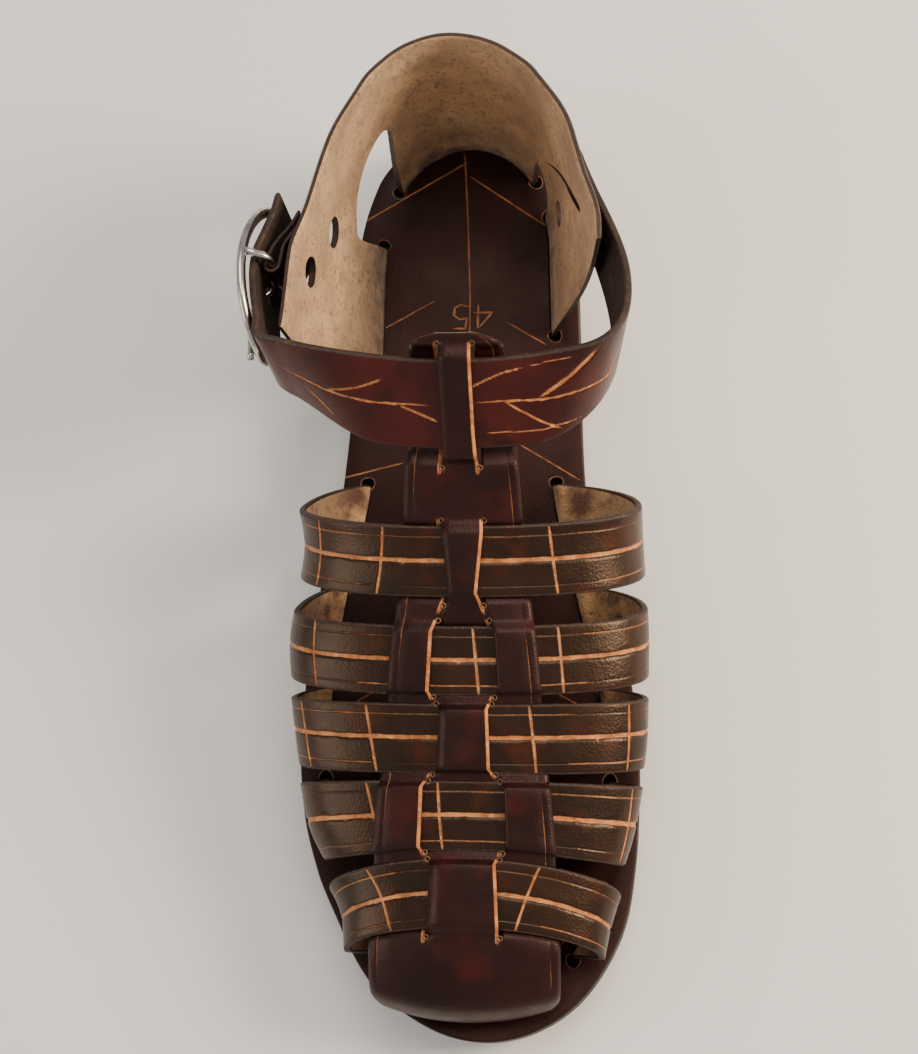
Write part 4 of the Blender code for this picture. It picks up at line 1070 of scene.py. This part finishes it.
def make_strap(name, crown, slot):
    steps = strap_steps(24, 70)
    stages = [(-1, *step) for step in steps] + [(1, *step) for step in steps[-2::-1]]
    strip = Strip(lambda stage, w: strap_point(stage[0], crown, slot, w, stage[1], stage[2]),
                  stages, STRAP_WIDTH, (RIDGE_X, along(crown), bed(crown)), len(steps) - 1)
    half = STRAP_WIDTH / 2
    seed = crown * 40
    strokes = []
    for order, (w, width, depth, bare) in enumerate(LONG_LINES):
        pieces = 1 if order == 0 else 3
        ends = np.linspace(strip.q[0], strip.q[-1], pieces + 1)
        for k in range(pieces):
            strength = bare * (1 if order == 0 else 0.75 + 0.35 * math.sin(seed + order * 2 + k * 2.4))
            strokes.append(stroke([(ends[k], w * half), (ends[k + 1], w * half)], width, depth, strength,
                                  seed + order + k))
    middle = RIDGE.run_at(crown)
    crossings = []
    for order, reaches in enumerate(CROSS_LINES[name]):
        spots = []
        over = np.linspace(strip.q[0] * ABOVE_SLOTS, strip.q[-1] * ABOVE_SLOTS, 300)
        for w, share in zip((-1, 1), reaches):
            span = RIDGE.values["medial" if share > 0 else "lateral"](middle + w * half) * BALL_WIDTH
            x = strip.points(over, w)[:, 0]
            spots.append(float(np.interp(RIDGE_X + share * span, x, over)))
        crossings.append((sum(spots) / 2, (spots[1] - spots[0]) / 2))
        edge = half * 0.98
        strokes.append(stroke([(spots[0], -edge), (spots[1], edge)], CROSS_WIDTH, CROSS_DEPTH, CROSS_BARE,
                              seed + order * 1.9 + 5, taper=0.25))
    soft = ARRIS / half
    columns = merged(list(np.linspace(-1, 1, 15)) + close_by([line[0] for line in LONG_LINES], 5, 0.014),
                     soft - 1, 1 - soft, 0.008)
    start, stop = strip.q[0], strip.q[-1]
    rows = merged(list(np.linspace(start, stop, 150)) + close_by([c[0] for c in crossings], 5, 0.00017),
                  start, stop, 0.0001)
    knots = [(start, 0.0)] + crossings + [(stop, 0.0)]
    slants = np.interp(rows, [k[0] for k in knots], [k[1] for k in knots])
    return band(name, strip, rows, slants, columns, strokes, (WAXED_HIDE, FLESH_SIDE, CUT_EDGE))


def weave_zones():
    """Where each strap crosses the tongue: run, level stretch to either side, which way."""
    zones = [(RIDGE.run_at(row[1]), 0.8 * STRAP_WIDTH / 2, row[5]) for row in STRAPS]
    zones.append((RIDGE.run_at(ANKLE[1]), ANKLE_WIDTH / 2 + 0.0012, ANKLE[5]))
    return zones


STRAP_SEAT = 0.00008
TAB_ROWS = (0.2, 0.4, 0.55, 0.65, 0.74, 0.82, 0.88, 0.93, 0.97, 0.99, 1.0)


def tongue_stations():
    """Stations up the tongue: run, level of its margins, and whether its slits are closed."""
    zones = weave_zones()
    stations = [(0.0011 * k, 0.0, True) for k in range(0, 19)]
    for i, (middle, full, margins) in enumerate(zones):
        level = margins * (LEATHER + (THREAD_PLAY if i == len(zones) - 1 else STRAP_SEAT))
        start = middle - full - RAMP
        if i > 0:
            start = max(start, (zones[i - 1][0] + zones[i - 1][1] + middle - full) / 2 + 0.0008)
        stop = middle + full + RAMP
        if i < len(zones) - 1:
            stop = min(stop, (middle + full + zones[i + 1][0] - zones[i + 1][1]) / 2 - 0.0008)
        for t in np.linspace(0, 0.85, 6):
            stations.append((start + (middle - full - start) * t, level * ease(t), False))
        for t in np.linspace(-1, 1, 9):
            stations.append((middle + full * t, level, False))
        for t in np.linspace(0.15, 1, 6):
            stations.append((middle + full + (stop - middle - full) * t, level * ease(1 - t), t == 1))
    last = stations[-1][0]
    spare = RIDGE.length - last
    stations += [(last + spare * t, 0.0, True) for t in TAB_ROWS]
    stations.sort(key=lambda s: s[0])
    filled = [stations[0]]
    for station in stations[1:]:
        if filled[-1][2] and station[0] - filled[-1][0] > 0.003:
            spare = station[0] - filled[-1][0]
            count = int(spare / 0.0025)
            begin = filled[-1][0]
            for k in range(1, count):
                filled.append((begin + spare * k / count, 0.0, True))
        filled.append(station)
    return filled


def band_half(run):
    """Half width of the tongue's middle band, between its slits."""
    runs = []
    halves = []
    for row in STRAPS + (ANKLE,):
        middle = RIDGE.run_at(row[1])
        runs += [middle - 0.009, middle + 0.009]
        halves += [row[3] * BALL_WIDTH, row[4] * BALL_WIDTH]
    return float(np.interp(run, runs, halves))


SLIT_LIMIT = 0.6
MARGIN_COLUMNS = 10
BAND_COLUMNS = 8
RAW_STRIP = 0.0009
MARGIN_WIDTH = 0.0078
MARGIN_ARRIS = 0.0012
SCORE_INSET = 0.0030
SCORE_HALF = 0.0003
SCORE_DEPTH = 0.00012
TAB_START = RIDGE.run_at(0.6150)


def tongue_reaches(run):
    """Where the tongue's columns lie off its middle: margins with a scored line, and the middle band."""
    edge = RIDGE.values["tongue"](run) * BALL_WIDTH
    beyond = (run - TAB_START) / (RIDGE.length - TAB_START)
    if beyond > 0:
        edge = RIDGE.values["tongue"](TAB_START) * BALL_WIDTH * math.sqrt(1 - 0.86 * beyond**2)
    slit = min(band_half(run), edge * SLIT_LIMIT)
    outer = slit + SLIT_HALF
    inner = slit - SLIT_HALF
    scale = min(1.0, (edge - outer) / MARGIN_WIDTH)
    raw = outer + RAW_STRIP * scale
    score = edge - SCORE_INSET * scale
    half = [edge, edge - MARGIN_ARRIS * scale, score + SCORE_HALF, score, score - SCORE_HALF]
    margin = half + [score + (raw - score) * t for t in (0.35, 0.7)] + [raw + 0.0002, raw, outer]
    rest = [inner - 2 * inner * k / (BAND_COLUMNS - 3) for k in range(BAND_COLUMNS - 2)]
    middle = [-r for r in rest[:-1]] + [inner - RAW_STRIP * 1.15, inner - RAW_STRIP * 0.9, inner]
    return [-r for r in margin] + middle + margin[::-1]


def make_tongue():
    stations = tongue_stations()
    reaches = [tongue_reaches(s[0]) for s in stations]
    columns = 2 * MARGIN_COLUMNS + BAND_COLUMNS
    band_start = MARGIN_COLUMNS
    band_end = MARGIN_COLUMNS + BAND_COLUMNS
    scored = (3, columns - 4)
    raw = (band_start - 2, band_start - 1, band_end - 2, band_end - 1)
    thin = {0: 0.5, 1: 0.94, columns - 1: 0.5, columns - 2: 0.94,
            band_start - 1: 0.7, band_start: 0.8, band_end - 1: 0.7, band_end: 0.8}

    def place(column, row):
        run, level, shut = stations[max(row - 1, 0)]
        reach = reaches[max(row - 1, 0)][column]
        normal = away_from_foot(run, reach)
        lift = -level if band_start <= column < band_end else level
        half = LEATHER / 2 * (1.0 if shut and 1 < column < columns - 2 else thin.get(column, 1.0))
        if row == len(stations):
            half *= END_THIN
        middle = over_foot(run, reach) + normal * lift
        if row == 0:
            middle.z -= FOOTBED - TAIL_LIFT
        bare = 0.0
        score = 0.0
        if column in scored and run > 0.02:
            score = SCORE_DEPTH
            bare = 0.42 + 0.2 * math.sin(run * 130 + column)
        if column in raw and not shut:
            bare = 1.0
        return middle + normal * (half - score), middle - normal * half, bare

    def gone(column, row):
        in_slit = column in (band_start - 1, band_end - 1)
        return in_slit and row > 0 and not stations[row - 1][2]

    return two_faced("tongue", columns - 1, len(stations), place, gone,
                     (PLUM_HIDE, FLESH_SIDE, CUT_EDGE))


BURR_SUNK = 0.00005


def make_slit_burrs():
    """The raw rims of the small holes punched where each slit of the tongue ends."""
    stations = tongue_stations()
    rims = []
    for before, after in zip(stations, stations[1:]):
        if before[2] == after[2]:
            continue
        run = (after if before[2] else before)[0]
        slit = min(band_half(run), RIDGE.values["tongue"](run) * BALL_WIDTH * SLIT_LIMIT)
        for side in (-1, 1):
            here = lifted(run, side * slit, LEATHER / 2)
            up = (lifted(run, side * slit, LEATHER) - here).normalized()
            rims.append(burr(here - up * BURR_SUNK, 0.00075, up, 0.0002))
    finish_mesh("slit_rims", gather(rims), (PUNCHED_HIDE,))


def make_ankle_strap():
    strip = Strip(STRAP.point, np.linspace(0, 1, 260), ANKLE_WIDTH, (0.0, 0.085, 0.06))
    if np.dot(strip.normals(strip.q[-1] / 2, 0.0), (0, -1, 0.3)) < 0:
        strip.sign = -strip.sign
    half = ANKLE_WIDTH / 2
    strokes = []
    for order, (width, points) in enumerate(VEINS):
        spots = [(t * strip.q[-1], w * half) for t, w in points]
        strokes.append(stroke(spots, width, VEIN_SLOPE * width, CROSS_BARE, order * 1.3, taper=0.7))
    soft = ARRIS / half
    rows = merged(np.linspace(0, strip.q[-1], 460), 0.0, strip.q[-1], 0.0001)
    columns = list(np.linspace(soft - 1, 1 - soft, 64))
    piece = band("ankle_band", strip, rows, [0.0] * len(rows), columns, strokes,
                 (OXBLOOD_HIDE, DYED_FLESH, CUT_EDGE))
    hole = bmesh.new()
    bmesh.ops.create_cone(hole, cap_ends=True, segments=32, radius1=PRONG_HOLE / 2, radius2=PRONG_HOLE / 2,
                          depth=0.012)
    lift = BAR_ROD / 2 + GAP + PRONG_ROD + GAP + LEATHER / 2
    for vert in hole.verts:
        vert.co = AXES.point(vert.co.x * 1.5 + PRONG_RISE, vert.co.y, vert.co.z + lift)
    settle(piece, [cut(piece, hole, "prong_hole", CUT_EDGE)])
    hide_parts("ankle_strap")


def plug(lower, upper):
    """A closed shape between two loops of points."""
    bm = bmesh.new()
    corner = bm.verts.layers.int.new("corner")
    bmesh.ops.create_circle(bm, cap_ends=True, segments=len(lower), radius=1.0)
    for k, vert in enumerate(bm.verts):
        vert[corner] = k
    grown = bmesh.ops.extrude_face_region(bm, geom=list(bm.faces), use_keep_orig=True)["geom"]
    raised = {g for g in grown if isinstance(g, bmesh.types.BMVert)}
    for vert in bm.verts:
        vert.co = (upper if vert in raised else lower)[vert[corner]]
    bmesh.ops.triangulate(bm, faces=bm.faces)
    return bm


def prism(corners, reach=0.006):
    """A closed shape through the counter's wall, from corners given as distance round and height."""
    return plug([wall(*corner, -reach) for corner in corners], [wall(*corner, reach) for corner in corners])


def rounded(corners, rounds=2):
    """Cuts the corners of a loop again and again until it is smooth."""
    for _ in range(rounds):
        out = []
        for a, b in zip(corners, corners[1:] + corners[:1]):
            out.append((a[0] * 0.75 + b[0] * 0.25, a[1] * 0.75 + b[1] * 0.25))
            out.append((a[0] * 0.25 + b[0] * 0.75, a[1] * 0.25 + b[1] * 0.75))
        corners = out
    return corners


def ring_corners(distance, height, diameter, count=28):
    turns = [2 * math.pi * k / count for k in range(count)]
    return [(distance + diameter / 2 * math.cos(t), height + diameter / 2 * math.sin(t)) for t in turns]


def counter_front(share_up, tab_end, front):
    return tab_end + (front - tab_end) * ease(share_up / 0.85)


# Rows under the counter's top edge: how far below it, and the share of the leather's thickness.
# The rows in SCORED_ROWS lie in a scored line.
TOP_ROWS = ((0.0046, 1.0), (0.0036, 1.0), (0.0033, 1.0), (0.0030, 1.0), (0.0027, 1.0), (0.0015, 1.0),
            (0.0005, 0.88), (0.0, 0.5))
SCORED_ROWS = (0.0033, 0.0030)
COUNTER_SCORE = 0.00014
COUNTER_COLUMNS = 150
ROW_STEP = 0.0026
ROW_COUNT = 26
TOP_BAND = 0.0060


def make_counter():
    columns = COUNTER_COLUMNS
    levels = [TAIL_LIFT - FOOTBED, 0.0, STEM] + [ROW_STEP * k for k in range(1, ROW_COUNT + 1)]

    def place(column, row):
        level = levels[row] if row < len(levels) else None
        share_up = 1.0 if level is None else max(level, 0.0) / COUNTER_HEIGHT
        start = counter_front(share_up, MEDIAL_TAB[0], MEDIAL_FRONT)
        stop = counter_front(share_up, LATERAL_TAB[1], LATERAL_FRONT)
        distance = start + (stop - start) * column / columns
        top = counter_height(distance)
        half = LEATHER / 2 * (0.6 if column in (0, columns) else 1.0)
        score = 0.0
        height = level
        if level is None:
            drop, swell = TOP_ROWS[row - len(levels)]
            height = top - drop
            half *= swell
            score = COUNTER_SCORE if drop in SCORED_ROWS else 0.0
        elif level > STEM:
            height = level * (top - TOP_BAND) / (ROW_STEP * ROW_COUNT)
        return (wall(distance, height, half - score), wall(distance, height, -half),
                0.6 if score else 0.0)

    piece = two_faced("heel_quarter", columns, len(levels) + len(TOP_ROWS) - 1, place, lambda c, r: False,
                      (WAXED_HIDE, FLESH_SIDE, CUT_EDGE))
    holes = [prism(rounded(list(LATERAL_WINDOW))), prism(rounded(list(MEDIAL_WINDOW))),
             prism(rounded(list(MEDIAL_SLIT), 1)), prism(ring_corners(*MEDIAL_HOLE))]
    holes += [prism(ring_corners(distance, height, RIVET_HOLE)) for distance, height in RIVET_HOLES]
    settle(piece, [cut(piece, gather(holes), "windows", CUT_EDGE)])
    piece.data.set_sharp_from_angle(angle=math.radians(40))
    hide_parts("heel_counter")


PUNCH_REACH = 0.012


def punched_slot(path):
    """A narrow slot with a round punched hole at each end, as a closed shape through the footbed."""
    half = LEATHER / 2 + SLOT_PLAY
    line = [Vector((*spot, 0.0)) for spot in path]
    left = []
    right = []
    for i in range(1, len(line) - 1):
        way = (line[i + 1] - line[i - 1]).normalized()
        across = Vector((-way.y, way.x, 0))
        left.append(line[i] + across * half)
        right.append(line[i] - across * half)

    def arc(centre, way):
        gape = math.asin(half / SLOT_HOLE)
        heading = math.atan2(way.y, way.x)
        return [centre + Vector((math.cos(heading + a), math.sin(heading + a), 0)) * SLOT_HOLE
                for a in np.linspace(math.pi - gape, -math.pi + gape, 15)]

    loop = arc(line[0], (line[0] - line[1]).normalized()) + left
    loop += arc(line[-1], (line[-1] - line[-2]).normalized()) + right[::-1]
    level = bed(share_of(sum(p.y for p in loop) / len(loop)))
    return plug([Vector((p.x, p.y, level - PUNCH_REACH)) for p in loop],
                [Vector((p.x, p.y, level + PUNCH_REACH)) for p in loop])


def strap_slot(side, inset, slot):
    spread = STRAP_WIDTH / 2 + SLOT_PLAY
    shares = [slot + spread / SOLE_LENGTH * w for w in (-1, 0, 1)]
    return [(rim(side, share, inset), along(share)) for share in shares]


def heel_slot(ends):
    count = max(3, int(round((ends[1] - ends[0]) / 0.004)))
    return [HEEL.at(d)[0] for d in np.linspace(ends[0] - SLOT_PLAY, ends[1] + SLOT_PLAY, count)]


def toe_slot():
    edge = RIDGE.values["tongue"](0.0) * BALL_WIDTH + SLOT_PLAY
    points = [over_foot(0.0, edge * (k / 6 - 1)) for k in range(13)]
    return [(p.x, p.y) for p in points]


def sole_layer(name, low, high, inset_low, inset_high, made, groove=0.0):
    """A slice of the sole, row by row from heel to toe, with softened corners."""
    loop = len(EDGE)
    rows = list(range(0, loop // 2 + 1, 2))
    if rows[-1] != loop // 2:
        rows.append(loop // 2)
    across = np.linspace(0, 1, 18)
    ring = [("low", t) for t in across]
    seam = ["under", "under_in", "over_in", "over"] if groove else []
    side = ["low_turn", "low_side"] + seam + ["high_side", "high_turn"]
    ring += [(kind, 1) for kind in side]
    ring += [("high", t) for t in across[::-1]]
    ring += [(kind, 0) for kind in side[::-1]]
    turn_low = inset_low * 0.3
    turn_high = inset_high * 0.3
    edges = {"low": (inset_low, 0.0), "high": (inset_high, 0.0),
             "low_turn": (turn_low, turn_low), "high_turn": (turn_high, -turn_high),
             "low_side": (0.0, inset_low), "high_side": (0.0, -inset_high),
             "under": (0.0, -SEAM_DROP), "over": (0.0, -SEAM_DROP + 0.0011),
             "under_in": (groove, -SEAM_DROP + 0.0003), "over_in": (groove, -SEAM_DROP + 0.0008)}
    bm = grid(len(ring), len(rows) - 1)
    for vert in bm.verts:
        column, station = grid_place(vert, len(ring), len(rows) - 1)
        kind, t = ring[column % len(ring)]
        row = rows[station]
        inset, lift = edges[kind]
        plan = inset_edge(inset)[0]
        x, y = plan[row] * (1 - t) + plan[(loop - row) % loop] * t
        surface = low if kind.startswith("low") else high
        vert.co = Vector((x, y, surface(share_of(y)) + lift))
    weld(bm)
    return finish_mesh(name, bm, (made,))


def knife(points, width, depth, lift, seed):
    """A closed wedge along a path on the bed, for one stroke of the knife."""
    line = stroke(points, width, 0, 0, seed)[0]
    count = len(line)
    profile = ((0.5, 1), (0.5, 0), (0.22, -1), (-0.22, -1), (-0.5, 0), (-0.5, 1))
    bm = grid(len(profile), count - 1)
    for vert in bm.verts:
        column, k = grid_place(vert, len(profile), count - 1)
        side, level = profile[column % len(profile)]
        way = line[min(k + 1, count - 1)] - line[max(k - 1, 0)]
        across = np.array((way[1], -way[0])) / np.hypot(*way)
        ends = min(k, count - 1 - k)
        thin = (0.35, 0.75)[ends] if ends < 2 else 1.0
        half = width * thin * side * (1 + 0.18 * waver(k * 0.004, seed))
        x, y = line[k] + across * half
        height = {1: lift, 0: 0.00002, -1: -depth * thin}[level]
        vert.co = Vector((x, y, bed(share_of(y)) + height))
    weld(bm, filled=True)
    return bm


def burr(centre, radius, up, thickness):
    """The raw rim of a punched hole."""
    bm = torus(radius, thickness, 8, 22)
    turn = Vector((0, 0, 1)).rotation_difference(up).to_matrix().to_4x4()
    for vert in bm.verts:
        angle = math.atan2(vert.co.y, vert.co.x)
        vert.co *= 1 + 0.05 * math.sin(angle * 3 + centre.x * 900)
    bmesh.ops.transform(bm, matrix=Matrix.Translation(centre) @ turn, verts=bm.verts)
    weld(bm)
    return bm


def gather(shapes):
    """Puts several shapes in one mesh."""
    bm = bmesh.new()
    for shape in shapes:
        mesh = new_mesh("part", shape)
        bm.from_mesh(mesh)
        bpy.data.meshes.remove(mesh)
    return bm


def tread_bar(share, half, depth, wide):
    """A shallow groove across the tread that stops short of its edge."""
    lateral, medial = sole_sides(share)
    middle = (lateral + medial) / 2
    bm = bmesh.new()
    bmesh.ops.create_cube(bm, size=1.0)
    for vert in bm.verts:
        x = middle + vert.co.x * 2 * (half - 0.008)
        y = along(share) + vert.co.y * wide + 0.10 * abs(x - middle)
        base = tread(share_of(y))
        vert.co = Vector((x, y, base + (depth if vert.co.z > 0 else -0.003)))
    return bm


BAR_STEP = 0.0165
BAR_DEPTH = 0.0009
BAR_WIDTH = 0.0018
RIB_WIDTH = 0.0006
NUMERAL_WIDTH = 0.0009
BLADE = (0.0003, 0.0005)


def make_soles():
    piece = sole_layer("walking_sole", tread, seat, 0.0015, 0.0004, RUBBER, 0.0006)
    bars = []
    for share in [0.235 + BAR_STEP * k for k in range(9)] + [0.715 + BAR_STEP * k for k in range(14)]:
        lateral, medial = sole_sides(share)
        bars.append(tread_bar(share, (medial - lateral) / 2, BAR_DEPTH, BAR_WIDTH))
    settle(piece, [cut(piece, gather(bars), "tread", RUBBER)])
    piece.data.set_sharp_from_angle(angle=math.radians(40))
    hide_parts("outsole")
    bottom = sole_layer("insole", lambda share: seat(share) + GAP, bed, 0.0002, 0.0008, INSOLE_HIDE)
    paths = [strap_slot(side, inset, row[2]) for row in STRAPS
             for side, inset in ((-1, LATERAL_INSET), (1, MEDIAL_INSET))]
    paths += [heel_slot(ends) for ends in (HEEL_TAB, LATERAL_TAB, MEDIAL_TAB)]
    paths.append(toe_slot())
    cutters = [cut(bottom, gather([punched_slot(path) for path in paths]), "slots", CUT_EDGE)]
    lines = [knife(points, RIB_WIDTH, *BLADE, order + 0.3) for order, points in enumerate(FOOTBED_LINES)]
    for kind, bent in (("rib", True), ("herringbone", False)):
        chosen = [line for line, points in zip(lines, FOOTBED_LINES) if (len(points) > 2) == bent]
        cutters.append(cut(bottom, gather(chosen), kind, CARVED_HIDE))
    x0, y0, tall, wide = SIZE_MARK
    for order, strokes in enumerate(SIZE_STROKES):
        points = [(x0 - (u - 1.0) * wide, y0 - (v - 0.5) * tall) for u, v in strokes]
        shape = knife(points, NUMERAL_WIDTH, *BLADE, order + 7.3)
        cutters.append(cut(bottom, shape, "numeral", CARVED_HIDE))
    settle(bottom, cutters)
    bottom.data.set_sharp_from_angle(angle=math.radians(28))
    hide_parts("footbed")
    rims = []
    for path in paths:
        for end in (0, -1):
            spot = Vector((*path[end], 0.0))
            spot.z = bed(share_of(spot.y)) + 0.00002
            rims.append(burr(spot, SLOT_HOLE - BURR_SUNK, Vector((0, 0, 1)), 0.00022))
    finish_mesh("slot_rims", gather(rims), (PUNCHED_HIDE,))


def ring_out(forward):
    crest = BAR_ROD / 2 + GAP + PRONG_ROD + GAP + LEATHER / 2 + BUCKLE_CREST
    return crest - BUCKLE_ARCH * (2 * forward / BUCKLE_LENGTH) ** 2


def rod(points, radius, sides=20):
    """A round rod along points, closed at its ends."""
    turns = []
    reference = (points[1] - points[0]).normalized().orthogonal().normalized()
    for k, point in enumerate(points):
        way = (points[min(k + 1, len(points) - 1)] - points[max(k - 1, 0)]).normalized()
        side = (reference - way * reference.dot(way)).normalized()
        reference = side
        turns.append((point, side, way.cross(side)))
    bm = grid(sides, len(points) - 1)
    for vert in bm.verts:
        column, row = grid_place(vert, sides, len(points) - 1)
        turn = 2 * math.pi * column / sides
        point, side, other = turns[row]
        vert.co = point + side * (radius * math.cos(turn)) + other * (radius * math.sin(turn))
    weld(bm, filled=True)
    return bm


BAR_KNEE = 0.0016


def make_buckle():
    ring = torus(1.0, BUCKLE_ROD / 2, 20, 96)
    half_length = (BUCKLE_LENGTH - BUCKLE_ROD) / 2
    half_height = (BUCKLE_HEIGHT - BUCKLE_ROD) / 2
    for vert in ring.verts:
        turn = math.atan2(vert.co.y, vert.co.x)
        beyond = math.hypot(vert.co.x, vert.co.y) - 1.0
        beyond = beyond * 1.35 - 0.0005
        forward = (half_length + beyond) * math.cos(turn)
        up = (half_height + beyond) * math.sin(turn)
        vert.co = AXES.point(forward, up, ring_out(half_length * math.cos(turn)) + vert.co.z)
    weld(ring)
    piece = finish_mesh("buckle_ring", ring, (NICKEL,))
    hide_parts("buckle_frame")
    knee = ANKLE_WIDTH / 2 + BAR_KNEE
    crest = ring_out(0.0)
    half = [(half_height, crest), (knee + 0.0012, crest * 0.55), (knee, 0.0015), (knee - 0.0015, 0.0)]
    path = half + [(-up, out) for up, out in half[::-1]]
    bar = rod([AXES.point(0.0, up, out) for up, out in path], BAR_ROD / 2)
    finish_mesh("buckle_bar", bar, (NICKEL,))
    eye = BAR_ROD / 2 + GAP + PRONG_ROD / 2
    hook = []
    for degrees in range(-50, -279, -12):
        turn = math.radians(degrees)
        hook.append((eye * math.cos(turn), eye * math.sin(turn)))
    rest = BAR_ROD / 2 + GAP + PRONG_ROD + GAP + LEATHER + GAP + PRONG_ROD / 2
    tip_out = ring_out(half_length) + BUCKLE_ROD / 2 + GAP + PRONG_ROD / 2
    hook += [(PRONG_RISE * 0.45, eye * 1.08), (PRONG_RISE * 0.85, eye * 1.55),
             (PRONG_RISE * 1.25, eye * 2.3), (PRONG_RISE * 1.6, rest * 0.95),
             (PRONG_RISE * 2.2, rest + 0.0003)]
    hook += [(half_length * 0.6, (rest + tip_out) / 2 + 0.0008), (half_length, tip_out),
             (half_length + 0.0015, tip_out - 0.0002)]
    tongue = rod([AXES.point(forward, 0.0, out) for forward, out in hook], PRONG_ROD / 2)
    piece = finish_mesh("buckle_pin", tongue, (NICKEL,))
    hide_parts("buckle_prong")


def make_chape():
    """The thin strip that folds round the buckle's bar, with a slot for the prong."""
    inner = LEATHER / 2 + GAP + CHAPE_LEATHER / 2 - BAR_OFF
    outer = inner + CHAPE_LEATHER + GAP
    radius = BAR_ROD / 2 + GAP + CHAPE_LEATHER / 2
    turns = [math.radians(degrees) for degrees in range(-90, 91, 30)]
    fold = [(CHAPE_LENGTH * share, inner) for share in (1.0, 0.66, 0.4)] + [(0.0065, -radius - 0.0004)]
    fold += [(-radius * math.cos(turn), radius * math.sin(turn)) for turn in turns]
    fold += [(0.0045, radius * 0.75), (CHAPE_LENGTH * 0.38, outer + 0.0008), (CHAPE_LENGTH * 0.58, outer)]
    run = [0.0]
    for (a, b), (c, d) in zip(fold, fold[1:]):
        run.append(run[-1] + math.hypot(c - a, d - b))
    behind = Curve(run, [knot[0] for knot in fold])
    off = Curve(run, [knot[1] for knot in fold])
    half = CHAPE_WIDTH / 2

    def point(stage, w):
        back, out = behind(stage), off(stage)
        distance = BAR_ROUND - back * math.cos(BUCKLE_TILT) - w * half * math.sin(BUCKLE_TILT)
        height = BAR_RISE - back * math.sin(BUCKLE_TILT) + w * half * math.cos(BUCKLE_TILT)
        straight = AXES.point(-back, w * half, out)
        return straight.lerp(wall(distance, height, out + BAR_OFF), ease((back - 0.005) / 0.010))

    strip = Strip(point, np.linspace(0, run[-1], 160), CHAPE_WIDTH, AXES.point(-0.006, 0, 0))
    rows = np.linspace(0, strip.q[-1], 150)
    soft = 0.4 * CHAPE_LEATHER / half
    columns = list(np.linspace(soft - 1, 1 - soft, 24))
    piece = band("buckle_fold", strip, rows, [0.0] * len(rows), columns, [],
                 (WAXED_HIDE, DYED_FLESH, CUT_EDGE), CHAPE_LEATHER)
    slot = bmesh.new()
    bmesh.ops.create_cube(slot, size=1.0)
    for vert in slot.verts:
        vert.co = AXES.point(vert.co.x * 0.014 - 0.001, vert.co.y * CHAPE_SLOT, vert.co.z * 0.016)
    settle(piece, [cut(piece, slot, "prong_slot", CUT_EDGE)])
    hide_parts("buckle_chape")


FLOOR_HALF = 3.0
SKY_STRENGTH = 0.55
LAMPS_AIM = Vector((0, 0, 0.04))
# Soft lamps: name, place, width in metres, power in watts and tint.
LAMPS = (
    ("key", (0.85, 0.10, 0.60), 0.45, 13.0, "#ffe8cc"),
    ("top", (0.15, 0.45, 1.20), 0.80, 7.0, "#fff6ea"),
    ("fill", (-0.85, -0.25, 0.55), 0.60, 2.6, "#fff3e6"),
)


def make_stage():
    """A pale floor and soft studio light."""
    bm = bmesh.new()
    bmesh.ops.create_grid(bm, x_segments=1, y_segments=1, size=FLOOR_HALF)
    mesh = new_mesh("floor", bm)
    floor = new_object("floor", mesh)
    pale = bpy.data.materials.new("pale_paper_floor")
    pale.use_nodes = True
    paper = pale.node_tree.nodes["Principled BSDF"].inputs
    paper["Base Color"].default_value = colour("#f3f1ee")
    paper["Roughness"].default_value = 0.9
    mesh.materials.append(pale)
    world = bpy.data.worlds.new("studio")
    world.use_nodes = True
    sky = world.node_tree.nodes["Background"].inputs
    sky["Color"].default_value = colour("#f4f2ef")
    sky["Strength"].default_value = SKY_STRENGTH
    bpy.context.scene.world = world
    for name, place, size, power, tint in LAMPS:
        light = bpy.data.lights.new(name, "AREA")
        light.shape = "DISK"
        light.size = size
        light.energy = power
        light.color = colour(tint)[:3]
        lamp = new_object(name, light)
        lamp.location = place
        lamp.rotation_euler = (LAMPS_AIM - Vector(place)).to_track_quat("-Z", "Y").to_euler()


CAMERA_PLACE = Vector((0.0623, -0.1611, 0.5974)) + Vector((SHIFT.x, 0, 0))
CAMERA_AIM = Vector((0.001, 0.001, 0.045))
CAMERA_PITCH = math.radians(75)
CAMERA_UP = Vector((0, math.sin(CAMERA_PITCH), math.cos(CAMERA_PITCH)))
CAMERA_VIEW = math.radians(32.0)


def make_camera():
    camera = bpy.data.cameras.new("camera")
    camera.sensor_fit = "VERTICAL"
    camera.angle = CAMERA_VIEW
    camera.clip_start = 0.01
    camera.clip_end = 20
    seen = new_object("camera", camera)
    forward = (CAMERA_AIM - CAMERA_PLACE).normalized()
    right = forward.cross(CAMERA_UP).normalized()
    up = right.cross(forward)
    turn = Matrix((right, up, -forward)).transposed()
    seen.matrix_world = Matrix.Translation(CAMERA_PLACE) @ turn.to_4x4()
    bpy.context.scene.camera = seen


def main():
    make_camera()
    make_stage()
    make_soles()
    upper = [make_tongue()] + [make_strap(*row[:3]) for row in STRAPS]
    for piece in upper:
        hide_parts("upper")
    make_slit_burrs()
    make_ankle_strap()
    make_counter()
    make_buckle()
    make_chape()


main()
